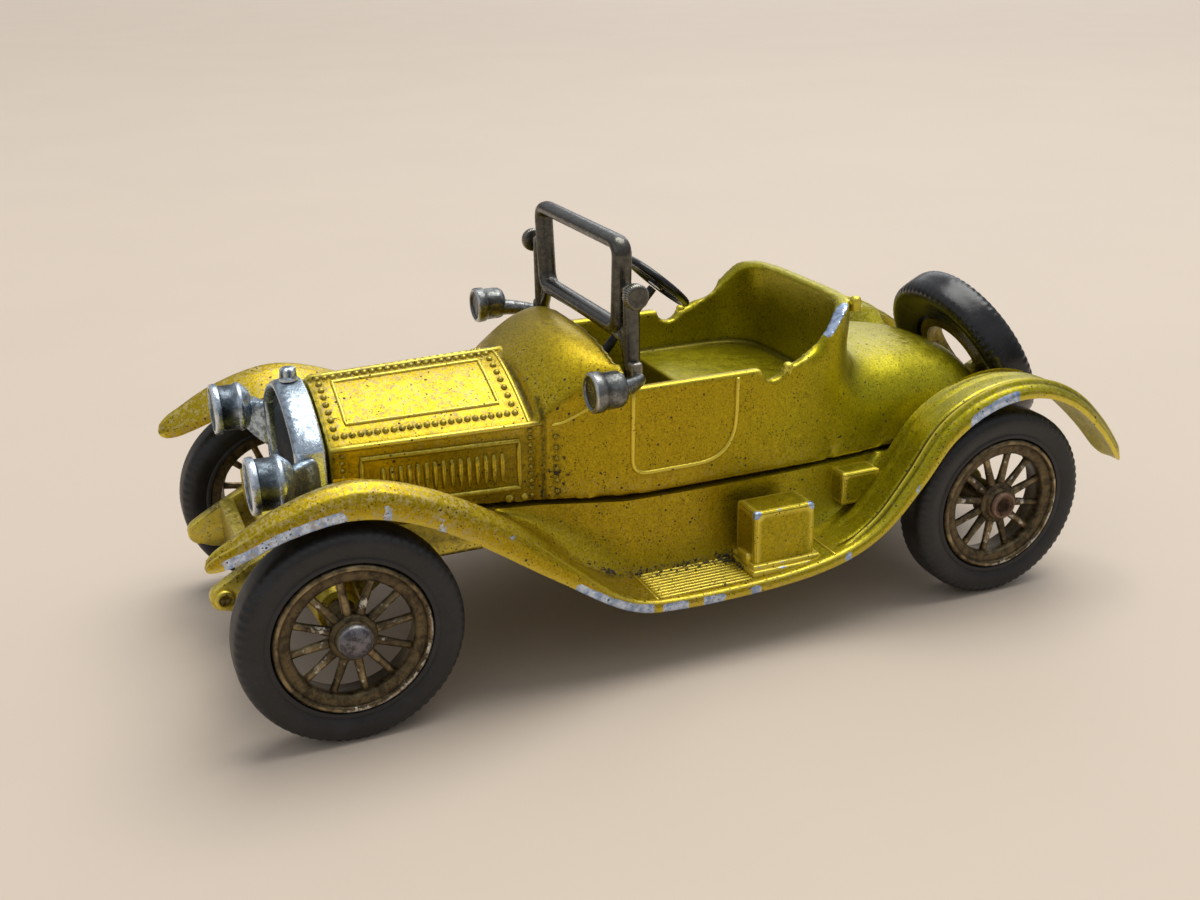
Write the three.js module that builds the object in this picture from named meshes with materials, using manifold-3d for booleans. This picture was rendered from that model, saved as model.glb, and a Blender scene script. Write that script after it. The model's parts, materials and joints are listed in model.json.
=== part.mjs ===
// Diecast collector car: an open two-seat roadster of the 1910s at 1:48, as an assembly of
// castings, pressed-on plated parts, spoked wheels on plain axles and push-fit tyres.
// Millimetres. +Z up, the bonnet points to -Y, the car's left side is +X. The origin is on the
// ground under the middle of the car.
import * as THREE from 'three';
import { mergeVertices } from 'three/addons/utils/BufferGeometryUtils.js';
import Module from 'manifold-3d';

const wasm = await Module();
wasm.setup();

// ---- driving dimensions -------------------------------------------------------------------

const wheelbase = 64;
const frontAxleY = -33.5;
const rearAxleY = frontAxleY + wheelbase;
const frontTipY = -43.9; // front fender tip
const rearTipY = 45; // rear fender tip
const centringShiftY = -0.63; // puts the middle of the whole car over the origin
const fitGap = 0.3; // between castings that rest on each other

const tyreSides = 28;
const tyreRadius = 9.52;
const axleZ = tyreRadius * Math.cos(Math.PI / tyreSides); // the tyre stands on one flat side
const tyreHalfWidth = 2.05;
const rimRadius = 6.6;
const frontWheelX = 16.5;
const rearWheelX = 16.1;
const axleRadius = 0.8;
const axleClearance = 0.08;
const hubInnerX = -3.2; // inner end of a hub, from the wheel's centre plane

const fenderOuterX = 18.5;
const fenderInnerX = 12.2;
const fenderCrestX = fenderOuterX - 1.2;
const boardLipZ = 5.9; // lower edge of the running board
const boardTopZ = boardLipZ + 1.1;
const boardStartY = -9;
const boardEndY = 14;
const sheet = 0.8; // thickness of the fenders

const bonnetFrontY = -32.2;
const bonnetRearY = -13.8;
const scuttleRearY = -6.6;
const tubRearY = 18.6;
const tubSideEndY = 8.5; // where the tub's sides start to curve in behind the seat
const deckFrontY = 15.5;
const tailY = 35.2;
const wall = 1.2; // casting wall
const doorTopZ = 24.8;
const rimTopZ = 29.6; // top of the tub behind the seat
const floorZ = 15.7;
const seatFrontY = 4;
const seatTopZ = 20.5;

const railInnerX = 6.8;
const railOuterX = 8;
const railBottomZ = 7.9; // at the axles and the dumb irons
const railArchZ = 10.3; // between the axles
const deckPlateThickness = 1.1;

const spareCentre = new THREE.Vector3(0, 38.3, 19.0);
const spareTilt = THREE.MathUtils.degToRad(27); // its axis above the horizontal
const spareBoreRadius = 5.4;

// Where the body is riveted to the chassis: along Y, and the top of the body's boss there.
const rivetPlaces = [
  { end: 'front', y: -22.5, bossTopZ: 25.6 },
  { end: 'rear', y: 26.5, bossTopZ: 22.4 },
];
const rivetTopZ = 18.6;
const rivetRadius = 0.9;
const rivetHoleRadius = rivetRadius + fitGap;

// ---- materials ----------------------------------------------------------------------------

const finish = (color, roughness, metalness) => ({ color, roughness, metalness });
const finishes = {
  paint: finish(0xa39a14, 0.38, 0.55),
  plated: finish(0xb9c2c8, 0.25, 0.95),
  darkCore: finish(0x24272a, 0.6, 0.6),
  gunmetal: finish(0x3a3733, 0.42, 0.85),
  brass: finish(0x8a6a3c, 0.45, 0.85),
  tyre: finish(0x1b1b1d, 0.6, 0.0),
  blackPlastic: finish(0x0e0e10, 0.25, 0.0),
  steel: finish(0x8d8f92, 0.35, 0.9),
};

// ---- solid helpers ------------------------------------------------------------------------

// A manifold solid from a closed three.js geometry, whichever way its faces were wound.
function solid(geometry) {
  const bare = geometry.index ? geometry.toNonIndexed() : geometry.clone();
  bare.deleteAttribute('normal');
  bare.deleteAttribute('uv');
  const merged = mergeVertices(bare, 1e-4);
  const corners = merged.index.array;
  const triangles = [];
  for (let i = 0; i < corners.length; i += 3) {
    const [a, b, c] = [corners[i], corners[i + 1], corners[i + 2]];
    if (a !== b && b !== c && c !== a) triangles.push(a, b, c);
  }
  const vertProperties = new Float32Array(merged.attributes.position.array);
  if (signedVolume(vertProperties, triangles) < 0) triangles.reverse();
  const triVerts = new Uint32Array(triangles);
  return new wasm.Manifold(new wasm.Mesh({ numProp: 3, vertProperties, triVerts }));
}

function signedVolume(positions, triangles) {
  const corner = (i) => new THREE.Vector3().fromArray(positions, triangles[i] * 3);
  let volume = 0;
  for (let i = 0; i < triangles.length; i += 3) {
    volume += corner(i).dot(corner(i + 1).cross(corner(i + 2))) / 6;
  }
  return volume;
}

function geometryOf(manifold) {
  const mesh = manifold.getMesh();
  const geometry = new THREE.BufferGeometry();
  geometry.setAttribute('position', new THREE.BufferAttribute(mesh.vertProperties, 3));
  geometry.setIndex(new THREE.BufferAttribute(mesh.triVerts, 1));
  geometry.computeVertexNormals();
  return geometry;
}

const join = (solids) => solids.reduce((whole, next) => whole.add(next));
const cut = (from, tools) => tools.reduce((rest, tool) => rest.subtract(tool), from);

// The solid together with its mirror image across the car's centre plane.
const bothSides = (geometry) => [solid(geometry), solid(geometry.clone().scale(-1, 1, 1))];

// A closed skin through sections of equal point counts; place() puts a section's point in space.
function loft(sections, place) {
  const count = sections[0].length;
  const positions = [];
  sections.forEach((section, station) => {
    section.forEach((point) => positions.push(...place(point, station)));
  });
  const indices = [];
  for (let station = 0; station < sections.length - 1; station++) {
    for (let i = 0; i < count; i++) {
      const a = station * count + i;
      const b = station * count + ((i + 1) % count);
      indices.push(a, b, b + count, a, b + count, a + count);
    }
  }
  const last = (sections.length - 1) * count;
  for (const [a, b, c] of capTriangles(sections[0])) indices.push(a, c, b);
  for (const [a, b, c] of capTriangles(sections.at(-1))) indices.push(last + a, last + b, last + c);
  const geometry = new THREE.BufferGeometry();
  geometry.setAttribute('position', new THREE.Float32BufferAttribute(positions, 3));
  geometry.setIndex(indices);
  return geometry;
}

// Triangles across a section, wound the way its outline runs.
function capTriangles(section) {
  const triangles = THREE.ShapeUtils.triangulateShape(section, []);
  const clockwise = THREE.ShapeUtils.isClockWise(section);
  return triangles.map(([a, b, c]) => {
    const turn = THREE.ShapeUtils.area([section[a], section[b], section[c]]);
    return turn < 0 === clockwise ? [a, b, c] : [a, c, b];
  });
}

const points = (pairs) => pairs.map(([a, b]) => new THREE.Vector2(a, b));

// An outline in the side view (Y, Z), extruded across the car from x0 to x1.
function sidePlate(shape, x0, x1) {
  const geometry = new THREE.ExtrudeGeometry(shape, {
    depth: x1 - x0,
    bevelEnabled: false,
    curveSegments: 10,
  });
  // The shape's first axis becomes Y, its second Z, and the extrusion runs along X.
  geometry.applyMatrix4(new THREE.Matrix4().set(0, 0, 1, x0, 1, 0, 0, 0, 0, 1, 0, 0, 0, 0, 0, 1));
  return geometry;
}

function box(x0, x1, y0, y1, z0, z1) {
  const geometry = new THREE.BoxGeometry(x1 - x0, y1 - y0, z1 - z0);
  return geometry.translate((x0 + x1) / 2, (y0 + y1) / 2, (z0 + z1) / 2);
}

// A lathe profile of [radius, distance] pairs turned about the +X axis.
function turned(profile, sides) {
  const geometry = new THREE.LatheGeometry(points(profile), sides);
  return geometry.rotateY(Math.PI / sides).rotateZ(-Math.PI / 2);
}

const turnedAlongY = (profile, sides) => turned(profile, sides).rotateZ(Math.PI / 2);
const turnedAlongZ = (profile, sides) => turned(profile, sides).rotateY(-Math.PI / 2);

function tube(path, radius, sides, steps) {
  const section = new THREE.Shape();
  section.absarc(0, 0, radius, 0, 2 * Math.PI, false);
  return new THREE.ExtrudeGeometry(section, {
    steps,
    extrudePath: path,
    bevelEnabled: false,
    curveSegments: sides,
  });
}

// A straight hole or boss standing on end, from z0 to z1.
function post(y, radius, z0, z1) {
  const profile = [[0, z0], [radius, z0], [radius, z1], [0, z1]];
  return turnedAlongZ(profile, 16).translate(0, y, 0);
}

const between = (from, to) => (
  new THREE.LineCurve3(new THREE.Vector3(...from), new THREE.Vector3(...to))
);
const mix = THREE.MathUtils.lerp;

// ---- body casting -------------------------------------------------------------------------

const sillZ = (y) => 14.3 + 0.0012 * (y - 4) ** 2;

// A cross-section (X, Z): straight sides up to the shoulder, then a superellipse over the top.
function bodySection({ y, sillHalf, shoulderHalf, shoulderZ, topZ, spread, crown }, inset = 0) {
  const steps = 14;
  const half = shoulderHalf - inset;
  const rise = topZ - shoulderZ - inset * 0.8;
  const bottom = inset ? sillZ(y) - 4 : sillZ(y);
  const outline = [[-(sillHalf - inset), bottom], [sillHalf - inset, bottom]];
  for (let i = 0; i <= steps; i++) {
    const angle = (Math.PI * i) / steps;
    const across = Math.sign(Math.cos(angle)) * Math.abs(Math.cos(angle)) ** (2 / spread);
    const up = Math.sin(angle) ** (2 / crown);
    outline.push([half * across, shoulderZ + rise * (i === 0 || i === steps ? 0 : up)]);
  }
  return points(outline);
}

function bodyLoft(stations, inset = 0) {
  const sections = stations.map((station) => bodySection(station, inset));
  return loft(sections, (point, station) => [point.x, stations[station].y, point.y]);
}

// Evenly spaced stations from one end's measures to the other's; the named measures bulge
// between the two ends.
function stationsBetween(start, end, count, bulges = {}) {
  const stations = [];
  for (let i = 0; i <= count; i++) {
    const along = i / count;
    const station = {};
    for (const key of Object.keys(start)) station[key] = mix(start[key], end[key], along);
    for (const key of Object.keys(bulges)) station[key] += bulges[key] * Math.sin(Math.PI * along);
    stations.push(station);
  }
  return stations;
}

const bonnetFront = {
  y: bonnetFrontY,
  sillHalf: 7.6,
  shoulderHalf: 7.7,
  shoulderZ: 21.9,
  topZ: 26.0,
  spread: 1.5,
  crown: 1,
};
const bonnetRear = {
  y: bonnetRearY,
  sillHalf: 9.5,
  shoulderHalf: 9.7,
  shoulderZ: 22.2,
  topZ: 26.3,
  spread: 1.5,
  crown: 1,
};
const scuttleFront = {
  y: bonnetRearY - 0.4,
  sillHalf: 9.6,
  shoulderHalf: 9.9,
  shoulderZ: 22.4,
  topZ: 26.6,
  spread: 1.75,
  crown: 1.25,
};
const scuttleRear = {
  y: scuttleRearY,
  sillHalf: 11.4,
  shoulderHalf: 12,
  shoulderZ: 26.2,
  topZ: 28.3,
  spread: 3,
  crown: 1.6,
};

const bonnetStations = stationsBetween(bonnetFront, bonnetRear, 3);
const scuttleStations = stationsBetween(scuttleFront, scuttleRear, 6, {
  topZ: 0.6, shoulderZ: 0.3, shoulderHalf: -0.5,
});

// The tail: [y, half width, top z] of its arched sections.
const deckStations = [
  [deckFrontY, 11.3, 23.3],
  [21, 11.1, 23.4],
  [26, 10.7, 23.1],
  [30, 10.0, 22.4],
  [33, 8.9, 21.4],
  [tailY, 7.2, 20.2],
].map(([y, half, topZ]) => ({
  y,
  sillHalf: half,
  shoulderHalf: half,
  shoulderZ: sillZ(y) + 0.5,
  topZ,
  spread: 3,
  crown: 2.2,
}));

// The tub's outline seen from above, round behind the seat, at one height.
function tubPlan(sideHalf, rearHalf, inset) {
  const squareness = 5.2;
  const steps = 14;
  const frontY = scuttleRearY - 0.8 + inset / 3;
  const depth = tubRearY - tubSideEndY - inset;
  const right = [[sideHalf - inset, frontY]];
  for (let i = 0; i < steps; i++) {
    const angle = (Math.PI / 2) * (i / steps);
    const narrowing = mix(sideHalf, rearHalf, i / steps);
    const across = Math.cos(angle) ** (2 / squareness);
    const back = Math.sin(angle) ** (2 / squareness);
    right.push([(narrowing - inset) * across, tubSideEndY + depth * back]);
  }
  const left = right.map(([x, y]) => [-x, y]).reverse();
  return points([...right, [0, tubSideEndY + depth], ...left]);
}

function tubLoft(bottomZ, topZ, inset) {
  const levels = [
    { z: bottomZ, plan: tubPlan(11.4, 11.2, inset) },
    { z: doorTopZ, plan: tubPlan(11.9, 10.8, inset) },
    { z: topZ, plan: tubPlan(11.9, 10.5, inset) },
  ];
  const sections = levels.map((level) => level.plan);
  return loft(sections, (point, station) => [point.x, point.y, levels[station].z]);
}

// Everything above the tub's rim in the side view: level along the door, a round notch behind
// it, then a sweep up to the back of the seat.
function rimCutter() {
  const doorEndY = 7;
  const notchRadius = 1.3;
  const above = 40;
  const rim = new THREE.Shape();
  rim.moveTo(bonnetRearY, above);
  rim.lineTo(bonnetRearY, doorTopZ);
  rim.lineTo(doorEndY, doorTopZ);
  rim.absarc(doorEndY + notchRadius, doorTopZ, notchRadius, Math.PI, 1.9 * Math.PI, false);
  rim.bezierCurveTo(12.5, 25.2, 14.2, 26.7, 15.9, 28.7);
  rim.quadraticCurveTo(16.8, rimTopZ, tubRearY + 1, rimTopZ);
  rim.lineTo(tubRearY + 1, above);
  return sidePlate(rim, -20, 20);
}

// Raised outline of a rounded door with its latch side to the rear.
function doorBead() {
  const frontY = -6;
  const rearY = 4.6;
  const bottomZ = 16.3;
  const topZ = doorTopZ - 0.8;
  const beadWidth = 0.35;
  const frontCorner = 1.5;
  const latchCorner = 4.2;
  const outline = (inset) => {
    const shape = new THREE.Shape();
    const [front, rear, bottom] = [frontY + inset, rearY - inset, bottomZ + inset];
    shape.moveTo(front, topZ);
    shape.lineTo(front, bottomZ + frontCorner);
    shape.quadraticCurveTo(front, bottom, frontY + frontCorner, bottom);
    shape.lineTo(rearY - latchCorner, bottom);
    shape.quadraticCurveTo(rear, bottom, rear, bottomZ + latchCorner);
    shape.lineTo(rear, topZ);
    return shape;
  };
  const [beadInnerX, beadOuterX] = [11.3, 12.1];
  const outer = solid(sidePlate(outline(0), beadInnerX, beadOuterX));
  const inner = solid(sidePlate(outline(beadWidth), beadInnerX - 1, beadOuterX + 1));
  const bead = geometryOf(outer.subtract(inner));
  return bothSides(bead);
}

// The space inside the scuttle, stopping short of the tub's front.
function scuttleHollow() {
  const endY = scuttleRearY - 1.6;
  const kept = scuttleStations.filter((station) => station.y < endY);
  return solid(bodyLoft([...kept, { ...scuttleRear, y: endY }], wall));
}

// The space inside the tail, between the tub's back wall and the tail's own.
function deckHollow() {
  const stations = deckStations.map((station) => {
    const along = (station.y - deckFrontY) / (tailY - deckFrontY);
    return { ...station, y: mix(tubRearY + wall, tailY - wall, along) };
  });
  return solid(bodyLoft(stations, wall));
}

// The seat cushion fills the tub's back, and is hollow underneath.
function seat() {
  const block = solid(box(-10.8, 10.8, seatFrontY, tubRearY - 1.6, floorZ - 0.5, seatTopZ));
  return block.intersect(solid(tubLoft(floorZ - 1, seatTopZ + 1, wall - 0.3)));
}

function seatHollow() {
  const [half, rearY] = [9.4, tubRearY - 3.4];
  return solid(box(-half, half, seatFrontY + wall, rearY, sillZ(4) - 3, seatTopZ - wall));
}

function body() {
  const bossRadius = 2.2;
  const outer = join([
    solid(tubLoft(sillZ(4), 31, 0)).subtract(solid(rimCutter())),
    solid(bodyLoft(bonnetStations)),
    solid(bodyLoft(scuttleStations)),
    solid(bodyLoft(deckStations)),
    ...doorBead(),
  ]);
  const bonnetHollow = stationsBetween(
    { ...bonnetFront, y: bonnetFrontY + wall },
    { ...bonnetRear, y: bonnetRearY + 0.5 },
    1,
  );
  const shell = cut(outer, [
    solid(bodyLoft(bonnetHollow, wall)),
    scuttleHollow(),
    solid(tubLoft(floorZ, 32, wall)),
    deckHollow(),
  ]);
  const bosses = rivetPlaces.map(({ y, bossTopZ }) => solid(post(y, bossRadius, sillZ(y), bossTopZ)));
  const holes = rivetPlaces.map(({ y }) => solid(post(y, rivetHoleRadius, 10, rivetTopZ + 0.4)));
  return geometryOf(cut(join([shell, seat(), ...bosses]), [seatHollow(), ...holes]));
}

// ---- chassis casting ----------------------------------------------------------------------

// The lower lip of the fenders and running board in the side view (Y, Z), front to rear.
const lipPath = new THREE.SplineCurve(points([
  [frontTipY, 16.7],
  [-41.2, 17.8],
  [-37.6, 19.2],
  [-33, 19.9],
  [-28.5, 18.9],
  [-23.5, 16.3],
  [-16, 11.1],
  [-9.5, 6.9],
  [-4, boardLipZ],
  [6, boardLipZ + 0.15],
  [12.5, 7.1],
  [17, 9.3],
  [20.8, 13.2],
  [24.2, 17.3],
  [28.6, 19.7],
  [33.4, 20.1],
  [37.8, 18.5],
  [41.6, 15.3],
  [rearTipY, 11.2],
]));

const lipZ = (() => {
  const samples = lipPath.getPoints(200);
  return (y) => {
    const next = samples.findIndex((sample) => sample.x > y);
    const [a, b] = [samples[next - 1], samples[next]];
    return mix(a.y, b.y, (y - a.x) / (b.x - a.x));
  };
})();

// A fender's section: X across, and height above the lip path. A rounded outer lip rises to a
// crest near the outer edge, and the top falls from there towards the inner edge.
function fenderSection({ lip, crest, inner }, narrowing) {
  const slopeX = 15.5;
  const slope = mix(crest, inner, 0.25);
  const tipX = fenderCrestX - 0.6;
  const across = (x) => mix(x, tipX, x < tipX ? narrowing : narrowing ** 2);
  return points([
    [across(fenderOuterX), 0],
    [across(fenderOuterX + 0.1), 0.5 * lip],
    [across(fenderOuterX - 0.2), lip],
    [across(fenderCrestX), crest],
    [across(slopeX), slope],
    [across(fenderInnerX + 0.4), inner],
    [across(fenderInnerX + 0.4), inner - sheet],
    [across(slopeX), slope - sheet],
    [across(fenderCrestX), mix(lip, crest, 0.6) - sheet],
    [across(fenderOuterX - 0.6), 0],
  ]);
}

const boardSection = { lip: 1.1, crest: 1.1, inner: 1.1 };
const frontFenderSection = { lip: 1.9, crest: 2.75, inner: 0.8 };
const rearFenderSection = { lip: 1.25, crest: 1.9, inner: 1.3 };

// 0 along the running board, rising to 1 where a fender has its full section.
function offBoard(y) {
  const blendLength = 13;
  return THREE.MathUtils.smoothstep(Math.max(boardStartY - y, y - boardEndY, 0), 0, blendLength);
}

function mixSections(from, to, along) {
  const section = {};
  for (const key of Object.keys(from)) section[key] = mix(from[key], to[key], along);
  return section;
}

function fender() {
  const stations = 34;
  const frontTipStations = 4; // over these a fender thins and narrows to its tip
  const rearTipStations = 8;
  const frames = [];
  for (let i = 0; i <= stations; i++) {
    const place = lipPath.getPointAt(i / stations);
    const tangent = lipPath.getTangentAt(i / stations);
    const normal = new THREE.Vector2(-tangent.y, tangent.x);
    const full = place.x < 0 ? frontFenderSection : rearFenderSection;
    const section = mixSections(boardSection, full, offBoard(place.x));
    const frontTip = 1 - Math.min(i / frontTipStations, 1);
    const rearTip = 1 - Math.min((stations - i) / rearTipStations, 1);
    const thinning = 1 - 0.45 * frontTip - 0.5 * rearTip;
    for (const key of Object.keys(section)) section[key] *= thinning;
    const narrowing = 0.85 * frontTip ** 1.5 + 0.6 * rearTip ** 2;
    frames.push({ place, normal, section: fenderSection(section, narrowing) });
  }
  const sections = frames.map((frame) => frame.section);
  return loft(sections, (point, station) => {
    const { place, normal } = frames[station];
    return [point.x, place.x + normal.x * point.y, place.y + normal.y * point.y];
  });
}

const chassisTopZ = (y) => sillZ(y) - fitGap;

// Half the body's width at its sill, at any place along the car.
function bodySideX(y) {
  const stations = [bonnetFront, bonnetRear, scuttleFront, scuttleRear, ...deckStations];
  const next = stations.findIndex((station) => station.y > y);
  if (next === 0) return bonnetFront.sillHalf;
  if (next < 0) return stations.at(-1).sillHalf;
  const [a, b] = [stations[next - 1], stations[next]];
  return mix(a.sillHalf, b.sillHalf, (y - a.y) / (b.y - a.y));
}

// The splash panel from under the body's sill out to the fender or the running board.
function valance() {
  const startY = -33;
  const endY = 36;
  const stations = 16;
  const thickness = 0.9;
  const steps = 4;
  const rows = [];
  for (let i = 0; i <= stations; i++) {
    const y = mix(startY, endY, i / stations);
    const inner = new THREE.Vector2(bodySideX(y) + fitGap, chassisTopZ(y));
    const outer = new THREE.Vector2(fenderInnerX + 0.6, lipZ(y) + 1.1 + 0.3 * offBoard(y));
    const upper = [[inner.x - 2, inner.y]];
    for (let k = 0; k <= steps; k++) {
      const along = k / steps;
      const sag = outer.y < inner.y ? along ** 0.45 : along;
      upper.push([mix(inner.x, outer.x, along ** 1.2), mix(inner.y, outer.y, sag)]);
    }
    const lower = upper.map(([x, z]) => [x - 0.25, z - thickness]).reverse();
    rows.push({ y, section: points([...upper, ...lower]) });
  }
  const sections = rows.map((row) => row.section);
  return loft(sections, (point, station) => [point.x, rows[station].y, point.y]);
}

const dumbIronEye = [-42.2, 10.2]; // the front end of a side member (Y, Z)

// One side member with its front and rear dumb irons, in the side view.
function frameRail() {
  const rail = new THREE.Shape();
  rail.moveTo(-38, railBottomZ);
  rail.lineTo(-41.4, railBottomZ + 0.8);
  rail.absarc(...dumbIronEye, 1.15, -Math.PI / 2, -Math.PI * 1.32, true);
  rail.quadraticCurveTo(-40.5, 12.6, -38, 13.8);
  for (let y = -30; y <= 24; y += 6) rail.lineTo(y, chassisTopZ(y) - 0.2);
  rail.quadraticCurveTo(33, 14.6, 38.5, 12.4);
  rail.absarc(38.8, 11.4, 1, Math.PI / 2, -Math.PI / 2, true);
  rail.quadraticCurveTo(36, 9.6, 34, railBottomZ);
  rail.lineTo(27, railBottomZ);
  rail.lineTo(24, railArchZ);
  rail.lineTo(-27, railArchZ);
  rail.lineTo(-30, railBottomZ);
  rail.closePath();
  return sidePlate(rail, railInnerX, railOuterX);
}

function springEye() {
  const radius = 0.85;
  const [innerX, outerX] = [railOuterX - 0.2, railOuterX + 0.5];
  const profile = [[0, innerX], [radius, innerX], [radius, outerX], [0, outerX]];
  return turned(profile, 14).translate(0, ...dumbIronEye);
}

// The flat plate across the rails that the body stands on.
function deckPlate() {
  const startY = -38;
  const endY = 36;
  const stations = 12;
  const sections = [];
  const places = [];
  for (let i = 0; i <= stations; i++) {
    const y = mix(startY, endY, i / stations);
    const half = bodySideX(y) - 0.9;
    const top = chassisTopZ(y);
    const bottom = chassisTopZ(4) - deckPlateThickness;
    places.push(y);
    sections.push(points([[-half, bottom], [half, bottom], [half, top], [-half, top]]));
  }
  return loft(sections, (point, station) => [point.x, places[station], point.y]);
}

// A tool box on its plinth on the running board, and the smaller box behind it.
function runningBoardBoxes() {
  const plinth = box(12.9, 17.7, 3.3, 10.9, boardTopZ - 0.4, boardTopZ + 0.9);
  const toolBox = box(13.3, 16.9, 3.8, 10.1, boardTopZ, 13);
  const smallBox = box(11.4, 13.7, 15.0, 19.2, 10.4, 13.7);
  return [plinth, toolBox, smallBox].flatMap((piece) => bothSides(piece));
}

// The bars that tie the two side members at the front and the rear.
function crossbars() {
  const half = railInnerX + 0.1;
  const front = box(-half, half, -40.2, -38.9, 9, 13.2);
  const rear = box(-half, half, 37.2, 38.4, 10.8, 12.6);
  return [solid(front), solid(rear)];
}

// A boss on the side member that keeps a wheel out at its place along the axle.
function axleBoss(y, wheelX) {
  const endX = wheelX + hubInnerX - fitGap;
  const profile = [[0, railInnerX + 0.4], [2.4, railInnerX + 0.4], [1.9, endX], [0, endX]];
  return turned(profile, 16).translate(0, y, axleZ);
}

function chassis() {
  const axleHole = (y) => {
    const reach = frontWheelX;
    const radius = axleRadius + fitGap;
    const hole = turned([[0, -reach], [radius, -reach], [radius, reach], [0, reach]], 16);
    return solid(hole.translate(0, y, axleZ));
  };
  const rivetHoles = rivetPlaces.map(({ y }) => solid(post(y, rivetHoleRadius, 8, rivetTopZ)));
  const whole = join([
    ...bothSides(fender()),
    ...bothSides(valance()),
    ...bothSides(frameRail()),
    ...bothSides(springEye()),
    ...bothSides(axleBoss(frontAxleY, frontWheelX)),
    ...bothSides(axleBoss(rearAxleY, rearWheelX)),
    solid(deckPlate()),
    ...runningBoardBoxes(),
    ...crossbars(),
  ]);
  return geometryOf(cut(whole, [axleHole(frontAxleY), axleHole(rearAxleY), ...rivetHoles]));
}

// ---- radiator and headlamps ---------------------------------------------------------------

const radiatorFrontY = -35.1;
const radiatorRearY = bonnetFrontY - fitGap;
const radiatorHalf = 7.9;
const radiatorTopZ = 26.1;
const radiatorBottomZ = 15.9;
const recessDepth = 1.6;

function radiatorLoft(frontY, rearY, inset) {
  const outline = {
    ...bonnetFront,
    sillHalf: radiatorHalf,
    shoulderHalf: radiatorHalf,
    topZ: radiatorTopZ,
    spread: 1.7,
    crown: 1.25,
  };
  const bottomZ = radiatorBottomZ + inset;
  const section = bodySection(outline, inset);
  const levelled = section.map((p, i) => (i < 2 ? new THREE.Vector2(p.x, bottomZ) : p));
  const ends = [frontY, rearY];
  return loft([levelled, levelled], (point, station) => [point.x, ends[station], point.y]);
}

function radiatorShell() {
  const outer = solid(radiatorLoft(radiatorFrontY, radiatorRearY, 0));
  const recess = solid(radiatorLoft(radiatorFrontY - 1, radiatorFrontY + recessDepth, 1.1));
  return geometryOf(outer.subtract(recess));
}

function radiatorCore() {
  return radiatorLoft(radiatorFrontY + 0.6, radiatorFrontY + recessDepth - fitGap, 1.4);
}

function radiatorCap() {
  const profile = [[0, 0], [0.85, 0], [0.85, 0.2], [0.72, 0.3], [0.72, 0.95], [0.55, 1.2], [0, 1.2]];
  return turnedAlongZ(profile, 14).translate(0, -33.7, radiatorTopZ + 0.05);
}

const headlampX = 10.4;
const headlampZ = 20.9;
const headlampFaceY = -39.5;

function headlamp() {
  const drum = turnedAlongY([
    [0, 0.5], [1.9, 0.3], [2.1, 0], [2.4, 0], [2.45, 0.7], [2.2, 0.8], [2.2, 2.3], [2.35, 2.4],
    [2.35, 2.8], [1.9, 3.2], [1.1, 3.9], [0, 3.9],
  ], 20).translate(headlampX, headlampFaceY, headlampZ);
  // The bracket is a tapering web from the back of the drum in to the radiator's side.
  const sideX = radiatorHalf + fitGap;
  const rings = [
    { x: headlampX + 0.9, y0: -37.4, y1: -35.9, z0: 19.6, z1: 22 },
    { x: 9.4, y0: -36.8, y1: -34.6, z0: 18.7, z1: 21.7 },
    { x: sideX, y0: -35.2, y1: -33.2, z0: 17.2, z1: 21.6 },
  ];
  const sections = rings.map(({ y0, y1, z0, z1 }) => points([[y0, z0], [y1, z0], [y1, z1], [y0, z1]]));
  const bracket = loft(sections, (point, station) => [rings[station].x, point.x, point.y]);
  return geometryOf(solid(drum).add(solid(bracket)));
}

// ---- windscreen, side lamps and steering --------------------------------------------------

const screenY = -6.75; // front of the frame's bars

const screenTopHalf = 10.35;
const screenBottomHalf = 9.7;
const screenTopZ = 37.9;
const screenBottomZ = 28.9;
const screenBarWidth = 1.35;
const screenBarDepth = 1.8;
const postInnerX = 10.9;
const postOuterX = 11.9;
const knobZ = 33.3;

// The frame in the front view (X, Z), moved inwards by margin: wider at the top, with its
// outer lower edge arched over the scuttle.
function screenOutline(margin) {
  const shape = new THREE.Shape();
  const [topHalf, bottomHalf] = [screenTopHalf - margin, screenBottomHalf - margin];
  const [topZ, bottomZ] = [screenTopZ - margin, screenBottomZ + margin];
  const corner = Math.max(2 - margin, 0.8);
  const archZ = margin === 0 ? bottomZ + 0.2 : bottomZ;
  shape.moveTo(-bottomHalf + corner, bottomZ);
  shape.quadraticCurveTo(0, archZ, bottomHalf - corner, bottomZ);
  shape.quadraticCurveTo(bottomHalf, bottomZ, bottomHalf, bottomZ + corner);
  shape.lineTo(topHalf, topZ - corner);
  shape.quadraticCurveTo(topHalf, topZ, topHalf - corner, topZ);
  shape.lineTo(-topHalf + corner, topZ);
  shape.quadraticCurveTo(-topHalf, topZ, -topHalf, topZ - corner);
  shape.lineTo(-bottomHalf, bottomZ + corner);
  shape.quadraticCurveTo(-bottomHalf, bottomZ, -bottomHalf + corner, bottomZ);
  return shape;
}

function screenBars() {
  const bevel = 0.35;
  const flatDepth = screenBarDepth - 2 * bevel;
  const outline = screenOutline(0);
  outline.holes.push(screenOutline(screenBarWidth - bevel));
  const bars = new THREE.ExtrudeGeometry(outline, {
    depth: flatDepth,
    bevelThickness: bevel,
    bevelSize: bevel,
    bevelOffset: -bevel,
    bevelSegments: 1,
    curveSegments: 4,
  });
  return bars.rotateX(Math.PI / 2).translate(0, screenY + bevel + flatDepth, 0);
}

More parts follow.
